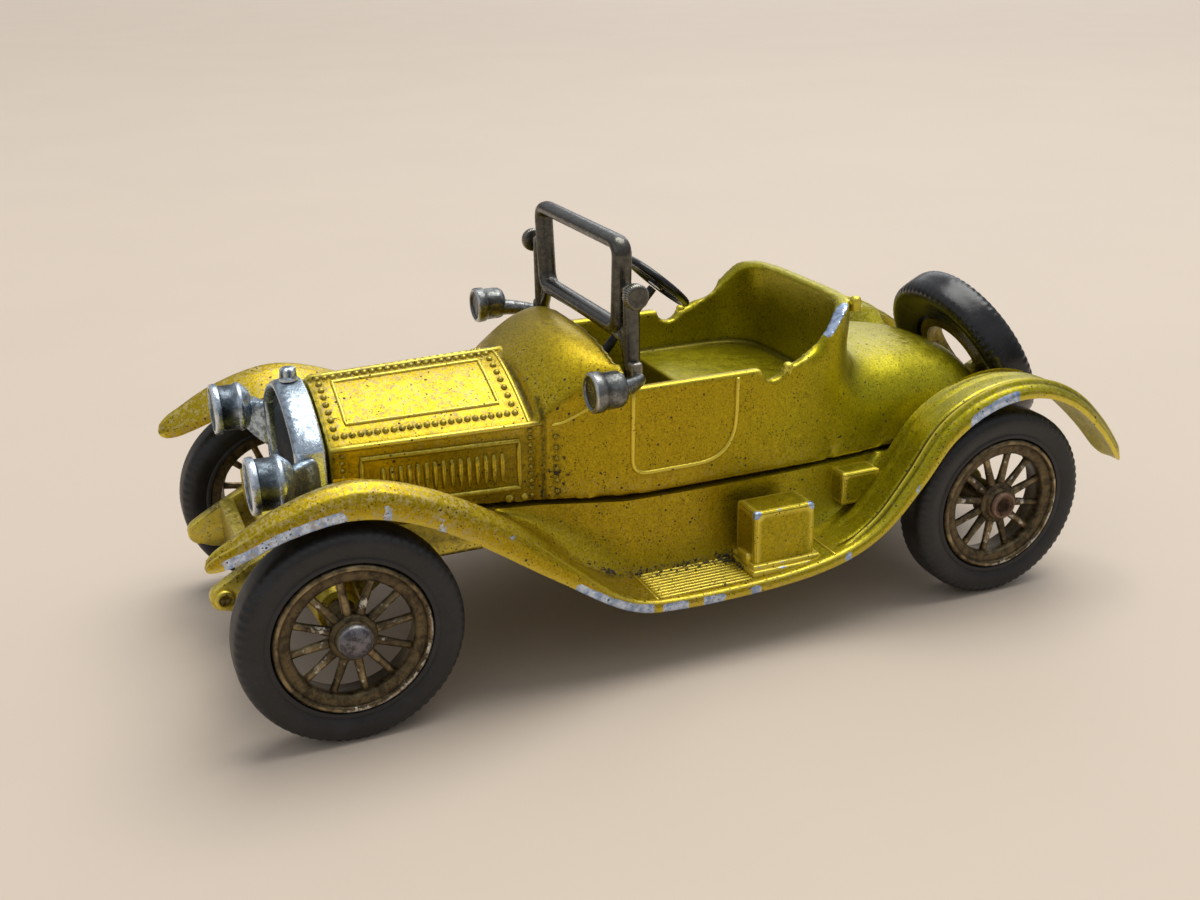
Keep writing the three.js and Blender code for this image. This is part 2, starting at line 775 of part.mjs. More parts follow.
// The frame, held behind its ends by two posts that stand on the body's shoulders.
function windscreenFrame() {
  const footZ = doorTopZ + fitGap;
  const footY = [screenY + 0.3, screenY + 1.2];
  const postY = [screenY + 0.3, screenY + 1.8];
  const webY = [screenY + 0.35, screenY + 1.4];
  const pieces = [
    box(postInnerX, postOuterX, ...postY, footZ, knobZ + 0.6),
    box(postInnerX + 0.1, postOuterX + 0.8, ...footY, footZ, 27.6),
    box(screenTopHalf - 1.35, postInnerX + 0.1, ...webY, knobZ - 0.5, knobZ + 0.5),
    box(screenBottomHalf - 1.1, postInnerX + 0.1, ...webY, 29.2, 30.2),
  ];
  return geometryOf(join([solid(screenBars()), ...pieces.flatMap((piece) => bothSides(piece))]));
}

function screenKnob() {
  const profile = [[0, 0], [0.5, 0], [0.5, 0.3], [1.1, 0.4], [1.15, 1.0], [0.9, 1.3], [0, 1.35]];
  return turned(profile, 14).translate(postOuterX + 0.05, screenY + 0.8, knobZ);
}

function sideLamp() {
  const [x, faceY, z] = [15.7, -11.6, 26.4];
  const drum = turnedAlongY([
    [0, 0.25], [1.45, 0.2], [1.55, 0], [1.75, 0], [1.8, 0.5], [1.6, 0.6], [1.6, 2.7], [1.2, 3.2], [0, 3.2],
  ], 16).translate(x, faceY, z);
  const armPath = between([x - 0.6, faceY + 2.4, z - 0.4], [13.1, screenY + 1.3, 25.9]);
  const arm = tube(armPath, 0.5, 4, 1);
  return geometryOf(solid(drum).add(solid(arm)));
}

const steeringCentre = [-4.75, 4.2, 29.6];
const steeringRise = THREE.MathUtils.degToRad(48); // the column above the horizontal

function steeringWheel() {
  const rimRadiusAcross = 3.5;
  const rim = new THREE.TorusGeometry(rimRadiusAcross, 0.42, 8, 28);
  const hub = turnedAlongZ([[0, -0.5], [0.8, -0.5], [0.8, 0.3], [0.5, 0.55], [0, 0.55]], 12);
  const spokes = [0, 1].map((i) => {
    const spoke = new THREE.BoxGeometry(2 * rimRadiusAcross, 0.5, 0.4);
    return solid(spoke.rotateZ(Math.PI / 4 + (i * Math.PI) / 2));
  });
  return geometryOf(join([solid(rim), solid(hub), ...spokes]));
}

function steeringColumn() {
  const length = 15.3; // down to the bulkhead under the scuttle
  const profile = [
    [0, -length], [0.9, -length], [0.9, -length + 0.8], [0.48, -length + 1.0], [0.48, -0.8], [0, -0.8],
  ];
  return turnedAlongZ(profile, 12);
}

// ---- wheels, tyres and axles --------------------------------------------------------------

// Distances along the axle are from the wheel's centre plane, positive away from the car.
function spokedWheel() {
  const spokeCount = 12;
  const rim = turned([
    [rimRadius, -1.5], [rimRadius, 2.05], [6.2, 2.05], [6.05, 1.8], [5.2, 1.6], [5.05, 1.1], [5.2, 0.5],
    [5.7, -1.5], [rimRadius, -1.5],
  ], tyreSides);
  const bore = axleRadius + axleClearance;
  const hub = turned([
    [bore, hubInnerX], [1.4, hubInnerX], [1.5, 0], [2.0, 0.4], [2.0, 1.5], [1.6, 1.9], [bore, 1.9],
    [bore, hubInnerX],
  ], 16);
  const spokes = [];
  for (let i = 0; i < spokeCount; i++) {
    const spoke = new THREE.CylinderGeometry(0.32, 0.45, 3.8, 4).translate(0, 3.45, 0);
    spokes.push(solid(spoke.translate(0.9, 0, 0).rotateX((2 * Math.PI * i) / spokeCount)));
  }
  return geometryOf(join([solid(rim), solid(hub), ...spokes]));
}

function tyre(bead) {
  return turned([
    [bead, -1.6], [7.3, -1.9], [8.3, -tyreHalfWidth], [9.15, -1.75], [tyreRadius, -1.1],
    [tyreRadius, 1.1], [9.15, 1.75], [8.3, tyreHalfWidth], [7.3, 1.9], [bead, 1.6], [bead, -1.6],
  ], tyreSides);
}

// A plain rod through both wheels, closed over each hub by a domed head.
function axle(wheelX) {
  const shoulder = wheelX + 1.9 + 0.1;
  const half = [[axleRadius, shoulder], [1.35, shoulder], [1.2, shoulder + 0.35], [0.7, shoulder + 0.7]];
  const right = [...half, [0, shoulder + 0.8]];
  const left = right.map(([radius, x]) => [radius, -x]).reverse();
  return turned([...left, ...right], 16);
}

// ---- spare wheel and fixings --------------------------------------------------------------

function spareCarrier() {
  const outer = spareBoreRadius - fitGap;
  const inner = outer - 1;
  const ring = solid(turned([
    [inner, -1.3], [outer, -1.3], [outer, 1.2], [outer - 0.4, 1.4], [inner, 1.4], [inner, -1.3],
  ], tyreSides));
  const lug = (y) => solid(box(-2.6, -1.1, y - 0.7, y + 0.7, -1.1, 1.1));
  return geometryOf(join([ring, lug(inner + 0.2), lug(-inner - 0.2)]));
}

// A stem up into the body's boss, with its spread head under the chassis plate.
function bodyRivet() {
  const headZ = chassisTopZ(4) - deckPlateThickness - fitGap;
  const profile = [
    [0, headZ - 0.8], [1.2, headZ - 0.7], [1.9, headZ - 0.2], [1.9, headZ],
    [rivetRadius, headZ], [rivetRadius, rivetTopZ], [0, rivetTopZ],
  ];
  return turnedAlongZ(profile, 14);
}

// ---- assembly -----------------------------------------------------------------------------

const car = new THREE.Group();
car.position.y = centringShiftY;

function add(name, geometry, look) {
  const mesh = new THREE.Mesh(geometryOf(solid(geometry)), new THREE.MeshStandardMaterial(look));
  mesh.name = name;
  car.add(mesh);
  return mesh;
}

const sides = [['left', 1], ['right', -1]];

// A piece made for the left side, and its mirror image for the right.
function addPair(name, geometry, look) {
  for (const [side, sign] of sides) {
    add(`${name}_${side}`, geometry.clone().scale(sign, 1, 1), look);
  }
}

add('body_casting', body(), finishes.paint);
add('chassis_casting', chassis(), finishes.paint);

add('radiator_shell', radiatorShell(), finishes.plated);
add('radiator_core', radiatorCore(), finishes.darkCore);
add('radiator_cap', radiatorCap(), finishes.plated);
addPair('headlamp', headlamp(), finishes.plated);

add('windscreen_frame', windscreenFrame(), finishes.gunmetal);
addPair('windscreen_knob', screenKnob(), finishes.gunmetal);
addPair('side_lamp', sideLamp(), finishes.gunmetal);

for (const [name, geometry] of [
  ['steering_wheel', steeringWheel()],
  ['steering_column', steeringColumn()],
]) {
  const piece = add(name, geometry, finishes.blackPlastic);
  piece.position.set(...steeringCentre);
  piece.rotation.x = -(Math.PI / 2 - steeringRise);
}

for (const [end, y, wheelX] of [['front', frontAxleY, frontWheelX], ['rear', rearAxleY, rearWheelX]]) {
  add(`${end}_axle`, axle(wheelX), finishes.steel).position.set(0, y, axleZ);
  for (const [side, sign] of sides) {
    for (const [name, geometry, look] of [
      ['wheel', spokedWheel(), finishes.brass],
      ['tyre', tyre(rimRadius + 0.05), finishes.tyre],
    ]) {
      const piece = add(`${end}_${name}_${side}`, geometry, look);
      piece.position.set(sign * wheelX, y, axleZ);
      if (sign < 0) piece.rotation.z = Math.PI;
    }
  }
}

// The spare's own axis runs along X as turned, so it is first stood facing rearward.
for (const [name, geometry, look] of [
  ['spare_tyre', tyre(spareBoreRadius), finishes.blackPlastic],
  ['spare_carrier', spareCarrier(), finishes.paint],
]) {
  const piece = add(name, geometry, look);
  piece.position.copy(spareCentre);
  piece.rotation.set(spareTilt, 0, Math.PI / 2, 'XYZ');
}

for (const { end, y } of rivetPlaces) {
  add(`body_rivet_${end}`, bodyRivet(), finishes.steel).position.set(0, y, 0);
}

export default car;
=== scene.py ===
import json
import math

import bmesh
import bpy
import numpy as np
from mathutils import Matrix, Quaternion, Vector


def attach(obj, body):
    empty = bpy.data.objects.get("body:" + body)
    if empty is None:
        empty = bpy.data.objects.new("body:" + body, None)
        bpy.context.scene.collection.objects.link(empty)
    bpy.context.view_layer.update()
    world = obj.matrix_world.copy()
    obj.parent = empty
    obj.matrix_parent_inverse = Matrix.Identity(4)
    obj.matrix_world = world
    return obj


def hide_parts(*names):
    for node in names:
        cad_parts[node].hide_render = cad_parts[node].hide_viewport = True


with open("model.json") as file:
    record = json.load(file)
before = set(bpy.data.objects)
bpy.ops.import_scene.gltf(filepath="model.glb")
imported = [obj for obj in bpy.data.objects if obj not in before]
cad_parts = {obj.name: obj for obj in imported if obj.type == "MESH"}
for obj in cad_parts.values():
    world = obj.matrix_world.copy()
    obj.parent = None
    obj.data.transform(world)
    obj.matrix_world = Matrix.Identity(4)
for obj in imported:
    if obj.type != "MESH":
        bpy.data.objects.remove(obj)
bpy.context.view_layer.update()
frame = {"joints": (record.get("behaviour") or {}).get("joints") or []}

# Lengths below are in millimetres in the CAD's own drawing, whose front axle is at FRONT_AXLE_Y;
# piece() puts a piece's points into the row frame.

MM = 0.001
FRONT_AXLE_Y = -33.5
REAR_AXLE_Y = 30.5

wheel_places = {}
for joint in frame["joints"]:
    wheel_places[joint["child"]] = [value / MM for value in joint["pos_m"]]
CENTRING_Y = wheel_places["front_left_wheel"][1] - FRONT_AXLE_Y
AXLE_Z = wheel_places["front_left_wheel"][2]
FRONT_WHEEL_X = wheel_places["front_left_wheel"][0]
REAR_WHEEL_X = wheel_places["rear_left_wheel"][0]

FENDER_OUTER_X = 18.5
FENDER_INNER_X = 12.2
BOARD_LIP_Z = 5.9
BOARD_TOP_Z = BOARD_LIP_Z + 1.1
BONNET_FRONT_Y = -32.2
BONNET_REAR_Y = -13.8
SCUTTLE_REAR_Y = -6.6
TUB_REAR_Y = 18.6
TAIL_Y = 35.2
WALL = 1.2
DOOR_TOP_Z = 24.8
RIM_TOP_Z = 29.6
FLOOR_Z = 15.7
SEAT_FRONT_Y = 4
SEAT_TOP_Z = 20.5
FIT_GAP = 0.3
SPARE_CENTRE = np.array([0, 38.3, 19.0])
SPARE_TILT = math.radians(27)


def mix(a, b, t):
    return a + (b - a) * t


def smoothstep(x, low, high):
    t = np.clip((x - low) / (high - low), 0, 1)
    return t * t * (3 - 2 * t)


# ---- mesh helpers: a solid is (points, faces), points an array of [x, y, z] --------------------


def loft(sections, loop=False):
    """A skin through closed sections of equal point counts, with an end face at each end, or
    joined end to end where loop says so."""
    sections = np.asarray(sections, float)
    rows, count = sections.shape[:2]
    faces = []
    for r in range(rows if loop else rows - 1):
        a0 = r * count
        b0 = ((r + 1) % rows) * count
        for i in range(count):
            j = (i + 1) % count
            faces.append((a0 + i, a0 + j, b0 + j, b0 + i))
    if not loop:
        faces.append(tuple(range(count - 1, -1, -1)))
        faces.append(tuple((rows - 1) * count + i for i in range(count)))
    return sections.reshape(-1, 3), faces


def turned(profile, segments, centre=(0, 0, 0), wobble=None):
    """A profile of (distance, radius) pairs turned about the X axis; on-axis ends close to a point.
    wobble(angle, index) changes a ring's radius, for treads and knurls."""
    profile = np.asarray(profile, float)
    angles = np.arange(segments) * 2 * math.pi / segments
    sections = []
    for index, (distance, radius) in enumerate(profile):
        radii = np.full(segments, max(radius, 1e-4))
        if wobble is not None:
            radii = radii + wobble(angles, index)
        ring = [np.full(segments, distance), radii * np.cos(angles), radii * np.sin(angles)]
        sections.append(np.array(ring).T)
    closed = np.allclose(profile[0], profile[-1])
    if closed:
        points, faces = loft(sections[:-1], loop=True)
    else:
        points, faces = loft(sections)
    return points + np.array(centre), faces


def rotated(solid, axis, angle):
    points, faces = solid
    c, s = math.cos(angle), math.sin(angle)
    matrix = {
        "x": np.array([[1, 0, 0], [0, c, -s], [0, s, c]]),
        "y": np.array([[c, 0, s], [0, 1, 0], [-s, 0, c]]),
        "z": np.array([[c, -s, 0], [s, c, 0], [0, 0, 1]]),
    }[axis]
    return points @ matrix.T, faces


def moved(solid, offset):
    return solid[0] + np.array(offset, float), solid[1]


def mirrored(solid):
    points, faces = solid
    return points * np.array([-1, 1, 1]), [tuple(reversed(face)) for face in faces]


def both(solids):
    """The solids and their mirror images across the centre plane."""
    return [*solids, *(mirrored(solid) for solid in solids)]


def facing_y(solid):
    """A solid turned about X, stood up to point along +Y."""
    return rotated(solid, "z", math.pi / 2)


def facing_z(solid):
    return rotated(solid, "y", -math.pi / 2)


def as_relief(solids):
    """Marks small raised details, which keep their paint where bare edges lose it."""
    return [(points, faces, "relief") for points, faces in solids]


def tube(path, radius, sides, loop=False, flatten=1.0):
    """A round bar with rounded ends along a path, or a closed ring; flatten stretches or squashes
    the section along its normal."""
    path = np.asarray(path, float)
    count = len(path)
    if loop:
        tangents = np.roll(path, -1, 0) - np.roll(path, 1, 0)
    else:
        tangents = np.gradient(path, axis=0)
    tangents /= np.linalg.norm(tangents, axis=1)[:, None]
    helper = np.array([0, 0, 1.0])
    if abs(tangents[0] @ helper) > 0.9:
        helper = np.array([0, 1.0, 0])
    normal = np.cross(np.cross(tangents[0], helper), tangents[0])
    radii = np.broadcast_to(radius, count).astype(float)
    angles = np.arange(sides) * 2 * math.pi / sides
    sections = []
    for i in range(count):
        normal = normal - tangents[i] * (normal @ tangents[i])
        normal /= np.linalg.norm(normal)
        side = np.cross(tangents[i], normal)
        ring = np.outer(np.cos(angles), side) + np.outer(np.sin(angles) * flatten, normal)
        sections.append(path[i] + ring * radii[i])
    if loop:
        return loft(sections, loop=True)
    end_length, end_width = 0.45, 0.55
    reach = tangents * radii[:, None] * end_length
    first = path[0] - reach[0] + (sections[0] - path[0]) * end_width
    last = path[-1] + reach[-1] + (sections[-1] - path[-1]) * end_width
    return loft([first, *sections, last])


def box(x0, x1, y0, y1, z0, z1):
    lower = [[x0, y0, z0], [x1, y0, z0], [x1, y1, z0], [x0, y1, z0]]
    upper = [[x, y, z1] for x, y, _ in lower]
    return loft([lower, upper])


def dome(centre, normal, radius, height, sides=10):
    """A low round rivet head standing on a surface."""
    normal = np.array(normal, float)
    normal /= np.linalg.norm(normal)
    across = np.cross(normal, [0, 1, 0] if abs(normal[1]) < 0.9 else [1, 0, 0])
    across /= np.linalg.norm(across)
    other = np.cross(normal, across)
    angles = np.arange(sides) * 2 * math.pi / sides
    sections = []
    for up, wide in ((-0.4, 1.0), (0.25, 1.0), (0.7, 0.75), (0.93, 0.4), (1.0, 0.05)):
        ring = np.outer(np.cos(angles), across) + np.outer(np.sin(angles), other)
        sections.append(np.array(centre) + normal * up * height + ring * radius * wide)
    return loft(sections)


def prism(outline, x0, x1):
    """An outline of (y, z) points extruded along X."""
    sections = [[(x, y, z) for y, z in outline] for x in (x0, x1)]
    return loft(sections)


def arc(centre, radius, start, end, steps):
    """Points from the start angle to the end angle, in degrees."""
    angles = np.radians(np.linspace(start, end, steps + 1))
    return [(centre[0] + radius * math.cos(a), centre[1] + radius * math.sin(a)) for a in angles]


def bezier(points, steps):
    """A quadratic or cubic Bezier curve through 2-D or 3-D control points."""
    points = np.asarray(points, float)
    curve = []
    for t in np.linspace(0, 1, steps + 1):
        level = points
        while len(level) > 1:
            level = mix(level[:-1], level[1:], t)
        curve.append(level[0])
    return np.array(curve)


def smooth_rows(rows, count):
    """Catmull-Rom through the rows of a table, evenly spaced in row number."""
    rows = np.asarray(rows, float)
    padded = np.vstack([2 * rows[0] - rows[1], rows, 2 * rows[-1] - rows[-2]])
    out = []
    for place in np.linspace(0, len(rows) - 1, count):
        i = min(int(place), len(rows) - 2)
        t = place - i
        p0, p1, p2, p3 = padded[i : i + 4]
        linear = p2 - p0
        square = 2 * p0 - 5 * p1 + 4 * p2 - p3
        cube = 3 * p1 - p0 - 3 * p2 + p3
        out.append(0.5 * (2 * p1 + linear * t + square * t**2 + cube * t**3))
    return np.array(out)


def lengths_along(path):
    """How far along a path each of its points lies."""
    steps = np.linalg.norm(np.diff(path, axis=0), axis=1)
    return np.concatenate([[0], np.cumsum(steps)])


def points_of(mesh, kind="co"):
    values = np.zeros(len(mesh.vertices) * 3)
    mesh.vertices.foreach_get(kind, values)
    return values.reshape(-1, 3)


def mesh_of(name, solids):
    """One mesh, in millimetres, holding all the solids."""
    points = []
    faces = []
    relief = []
    start = 0
    for solid_points, solid_faces, *tag in solids:
        points.append(solid_points)
        faces.extend(tuple(start + i for i in face) for face in solid_faces)
        relief.extend([1.0 if tag else 0.0] * len(solid_points))
        start += len(solid_points)
    mesh = bpy.data.meshes.new(name)
    mesh.from_pydata(np.vstack(points).tolist(), [], faces)
    mesh.attributes.new("relief", "FLOAT", "POINT").data.foreach_set("value", relief)
    work = bmesh.new()
    work.from_mesh(mesh)
    bmesh.ops.remove_doubles(work, verts=work.verts, dist=0.0008)
    bmesh.ops.recalc_face_normals(work, faces=work.faces)
    work.to_mesh(mesh)
    work.free()
    return mesh


def object_of(name, solids):
    obj = bpy.data.objects.new(name, mesh_of(name, solids))
    bpy.context.scene.collection.objects.link(obj)
    return obj


def applied(obj):
    """obj with its modifiers made real."""
    depsgraph = bpy.context.evaluated_depsgraph_get()
    mesh = bpy.data.meshes.new_from_object(obj.evaluated_get(depsgraph), depsgraph=depsgraph)
    obj.modifiers.clear()
    obj.data = mesh
    return obj


def combine(obj, operation, solids):
    """Joins each solid to obj, or cuts it from obj."""
    for solid in solids:
        tool = object_of("tool", [solid])
        modifier = obj.modifiers.new("combine", "BOOLEAN")
        modifier.operation = operation
        modifier.solver = "MANIFOLD"
        modifier.object = tool
        applied(obj)
        bpy.data.objects.remove(tool)
    return obj


def softened(obj, voxel, rounds):
    """Cast edges: a fine even skin, smoothed."""
    remesh = obj.modifiers.new("skin", "REMESH")
    remesh.mode = "VOXEL"
    remesh.voxel_size = voxel
    smooth = obj.modifiers.new("soften", "SMOOTH")
    smooth.factor = 0.5
    smooth.iterations = rounds
    return applied(obj)


def relaxed(obj, weight_at, rounds):
    """Blends the surface where weight_at(points) is above zero."""
    weights = weight_at(points_of(obj.data))
    group = obj.vertex_groups.new(name="relax")
    for i in np.nonzero(weights > 0.01)[0]:
        group.add([int(i)], float(weights[i]), "REPLACE")
    smooth = obj.modifiers.new("relax", "SMOOTH")
    smooth.factor = 0.5
    smooth.iterations = rounds
    smooth.vertex_group = group.name
    return applied(obj)


def bevelled(solids, width, segments=2, divisions=0):
    """Solids with rounded edges; divisions splits their faces for finer masks."""
    out = []
    for solid in solids:
        obj = object_of("bevelled", [solid])
        bevel = obj.modifiers.new("round", "BEVEL")
        bevel.width = width
        bevel.segments = segments
        bevel.limit_method = "ANGLE"
        bevel.angle_limit = math.radians(35)
        if divisions:
            split = obj.modifiers.new("split", "SUBSURF")
            split.subdivision_type = "SIMPLE"
            split.levels = divisions
        applied(obj)
        out.append(solid_of(obj))
    return out


def solid_of(obj):
    """The points and faces of an object, which is then removed."""
    points = points_of(obj.data)
    faces = [tuple(polygon.vertices) for polygon in obj.data.polygons]
    bpy.data.objects.remove(obj)
    return points, faces


def edge_mask(mesh):
    """How convex (+) or concave (-) each vertex is, in 1/mm, from its neighbours' normals."""
    count = len(mesh.vertices)
    points = points_of(mesh)
    normals = points_of(mesh, "normal")
    edges = np.zeros(len(mesh.edges) * 2, int)
    mesh.edges.foreach_get("vertices", edges)
    a, b = edges.reshape(-1, 2).T
    offset = points[b] - points[a]
    square = np.maximum((offset**2).sum(1), 1e-4)
    bend = ((normals[b] - normals[a]) * offset).sum(1) / square
    total = np.zeros(count)
    number = np.zeros(count)
    for ends in (a, b):
        np.add.at(total, ends, bend)
        np.add.at(number, ends, 1)
    return total / np.maximum(number, 1)


SHARP_ANGLE = math.radians(50)
BEND_LIMIT = 4


def piece(name, solids, body, nodes, material, extra=None):
    """One visible piece, put in the row frame and tied to its CAD body and nodes. extra(points)
    gives further masks for the material."""
    obj = object_of(name, solids)
    mesh = obj.data
    points = points_of(mesh)
    masks = {"bend": np.clip(edge_mask(mesh), -BEND_LIMIT, BEND_LIMIT)}
    if extra is not None:
        masks.update(extra(points))
    for key, values in masks.items():
        layer = mesh.attributes.new(key, "FLOAT", "POINT")
        layer.data.foreach_set("value", np.asarray(values, np.float32))
    points[:, 1] += CENTRING_Y
    mesh.vertices.foreach_set("co", (points * MM).ravel())
    mesh.polygons.foreach_set("use_smooth", [True] * len(mesh.polygons))
    mesh.set_sharp_from_angle(angle=SHARP_ANGLE)
    mesh.update()
    mesh.materials.clear()
    mesh.materials.append(material)
    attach(obj, body)
    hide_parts(*nodes)


def pair(name, node, solids, material):
    """A piece of the car on the left and its mirror image on the right."""
    for side, shapes in (("left", solids), ("right", [mirrored(solid) for solid in solids])):
        piece(f"{name}_{side}", shapes, "car", [f"{node}_{side}"], material)


# ---- materials ---------------------------------------------------------------------------------


class Value:
    """A number made by a node, so that materials are written as plain arithmetic."""

    def __init__(self, shader, socket):
        self.shader = shader
        self.socket = socket

    def __add__(self, other):
        return self.shader.math("ADD", self, other)

    def __sub__(self, other):
        return self.shader.math("SUBTRACT", self, other)

    def __rsub__(self, other):
        return self.shader.math("SUBTRACT", other, self)

    def __mul__(self, other):
        return self.shader.math("MULTIPLY", self, other)

    def __lt__(self, other):
        return self.shader.math("LESS_THAN", self, other)


class Shader:
    """A short way to write a node material. Positions are in millimetres in the row frame."""

    def __init__(self, name, **sockets):
        self.material = bpy.data.materials.new(name)
        self.material.use_nodes = True
        self.nodes = self.material.node_tree.nodes
        self.links = self.material.node_tree.links
        self.surface = self.nodes["Principled BSDF"]
        for socket, value in sockets.items():
            self.surface.inputs[socket.replace("_", " ")].default_value = value
        coordinates = self.nodes.new("ShaderNodeTexCoord")
        scale = self.nodes.new("ShaderNodeVectorMath")
        scale.operation = "SCALE"
        scale.inputs["Scale"].default_value = 1 / MM
        self.links.new(coordinates.outputs["Object"], scale.inputs[0])
        self.place = scale.outputs[0]

    def put(self, socket, value):
        """Links a value or a colour to a socket, or sets a plain one on it."""
        if isinstance(value, Value):
            self.links.new(value.socket, socket)
        elif isinstance(value, bpy.types.NodeSocket):
            self.links.new(value, socket)
        elif isinstance(value, tuple):
            socket.default_value = (*value, 1)
        else:
            socket.default_value = value

    def noise(self, scale, detail=2.0, roughness=0.5):
        node = self.nodes.new("ShaderNodeTexNoise")
        node.inputs["Scale"].default_value = scale
        node.inputs["Detail"].default_value = detail
        node.inputs["Roughness"].default_value = roughness
        self.links.new(self.place, node.inputs["Vector"])
        return Value(self, node.outputs["Fac"])

    def cells(self, scale):
        """The distance to the nearest of many scattered points."""
        node = self.nodes.new("ShaderNodeTexVoronoi")
        node.inputs["Scale"].default_value = scale
        self.links.new(self.place, node.inputs["Vector"])
        return Value(self, node.outputs["Distance"])

    def attribute(self, name):
        node = self.nodes.new("ShaderNodeAttribute")
        node.attribute_name = name
        return Value(self, node.outputs["Fac"])

    def math(self, operation, a, b):
        node = self.nodes.new("ShaderNodeMath")
        node.operation = operation
        self.put(node.inputs[0], a)
        self.put(node.inputs[1], b)
        return Value(self, node.outputs[0])

    def ramp(self, value, low, high, to_low=0.0, to_high=1.0):
        """A smooth step of value from low to high."""
        node = self.nodes.new("ShaderNodeMapRange")
        node.interpolation_type = "SMOOTHSTEP"
        self.put(node.inputs["Value"], value)
        node.inputs["From Min"].default_value = low
        node.inputs["From Max"].default_value = high
        node.inputs["To Min"].default_value = to_low
        node.inputs["To Max"].default_value = to_high
        return Value(self, node.outputs["Result"])

    def blend(self, factor, a, b):
        """The colour a where factor is 0, turning into b where it is 1."""
        node = self.nodes.new("ShaderNodeMix")
        node.data_type = "RGBA"
        self.put(node.inputs["Factor"], factor)
        self.put(node.inputs[6], a)
        self.put(node.inputs[7], b)
        return node.outputs[2]

    def set(self, socket, value):
        self.put(self.surface.inputs[socket], value)

    def bump(self, height, strength, distance):
        """Adds a height, in units of distance metres, to the surface's bump."""
        node = self.nodes.new("ShaderNodeBump")
        node.inputs["Strength"].default_value = strength
        node.inputs["Distance"].default_value = distance
        self.put(node.inputs["Height"], height)
        normal = self.surface.inputs["Normal"]
        if normal.is_linked:
            self.links.new(normal.links[0].from_socket, node.inputs["Normal"])
        self.links.new(node.outputs[0], normal)


def candy_paint(name):
    """Metallic lacquer over zinc, turning from lime to gold along a vertex mask: flake, darker lacquer
    and painted shade in the hollows, a painted highlight on raised lines, bare bluish metal where it
    has worn through, black specks, soil and a little dust."""
    s = Shader(name, Coat_Weight=0.12, Coat_Roughness=0.25)
    bend = s.attribute("bend")
    relief = s.attribute("relief")
    # Lime towards the tail and inside the tub, gold towards the front; inside the tub the lime is a
    # painted reflection of the lacquer in itself.
    gold_tint = s.attribute("gold_tint") + (s.noise(0.35, 3) - 0.5) * 0.5
    lime, gold = (0.37, 0.33, 0.002), (0.42, 0.295, 0.002)
    base = s.blend(s.ramp(gold_tint, 0.0, 1.0), lime, gold)
    flake = s.noise(5.0, 3, 0.75)
    base = s.blend(s.ramp(flake, 0.48, 0.72, 0.0, 0.6), base, (0.66, 0.52, 0.012))
    base = s.blend(s.ramp(flake, 0.30, 0.48, 0.75, 0.0), base, (0.11, 0.08, 0.001))
    # Painted shade darkens the hollows, where the lacquer also pools, and a painted highlight
    # brightens raised lines, where the lacquer is also thin.
    base = s.blend(s.ramp(bend, -0.8, -0.05, 0.8, 0.0), base, (0.06, 0.045, 0.002))
    base = s.blend(s.ramp(bend, 0.4, 2.0, 0.0, 0.75), base, (0.90, 0.74, 0.10))
    # Bare metal in broad worn spans, and in small chips along plain edges.
    patches = s.noise(1.1, 4, 0.6)
    ragged = s.attribute("wear") * (1.0 - relief) + (patches - 0.5) * 0.75
    chips = s.ramp(bend, 0.8, 3.0, 0.0, 0.30) + patches * 0.9 - relief
    bare = s.math("MAXIMUM", s.ramp(ragged, 0.47, 0.53), s.ramp(chips, 0.86, 0.90))
    dull_zinc, bright_zinc, pit = (0.28, 0.39, 0.62), (0.62, 0.74, 0.95), (0.12, 0.14, 0.17)
    zinc = s.blend(s.ramp(s.noise(1.5, 3, 0.6), 0.38, 0.62), dull_zinc, bright_zinc)
    zinc = s.blend(s.ramp(s.noise(4.5, 3, 0.7), 0.56, 0.66, 0.0, 0.4), zinc, pit)
    base = s.blend(bare, base, zinc)
    # Pale dust in fine patches.
    dust = s.ramp(s.noise(2.4, 4, 0.7), 0.46, 0.66) * s.attribute("dirt")
    base = s.blend(dust * 0.65, base, (0.52, 0.42, 0.20))
    # Dark brown round the rivets, along the bonnet's rear joint and in the running board's soiled
    # corners; painted shade, with some dirt, over the bonnet's side panel; painted shade inside the
    # wheel wells and over the spare's carrier. Then clumps of dark soil.
    darkening = s.attribute("grime_and_shade") * s.ramp(s.noise(2.6, 3, 0.7), 0.30, 0.6, 0.45, 1.0)
    base = s.blend(darkening, base, (0.045, 0.032, 0.003))
    clump = s.noise(1.7, 5, 0.72) + s.attribute("soil") * 0.26
    soil = s.ramp(clump, 0.67, 0.72)
    # Black specks of two sizes.
    large = s.cells(1.3) + s.noise(6, 2) * 0.12 < s.ramp(s.noise(0.45, 2), 0.40, 0.68, 0.09, 0.23)
    fine = s.cells(3.0) < s.ramp(s.noise(0.8, 2), 0.38, 0.68, 0.06, 0.25)
    speck = s.math("MAXIMUM", large, soil)
    base = s.blend(fine * 0.8, base, (0.035, 0.026, 0.004))
    base = s.blend(speck * 0.93, base, (0.014, 0.011, 0.007))
    s.set("Base Color", base)
    covered = s.math("MAXIMUM", speck, dust * 0.6)
    s.set("Metallic", 0.87 - covered * 0.8)
    s.set("Roughness", s.ramp(s.noise(0.9, 3), 0.3, 0.7, 0.33, 0.44) - bare * 0.08 + covered * 0.35)
    s.bump(s.noise(0.9, 3, 0.5), 0.30, 0.00012)
    s.bump(flake, 0.35, 0.00004)
    s.bump(bare, -0.6, 0.00003)
    s.bump(speck, 0.6, 0.00006)
    return s.material


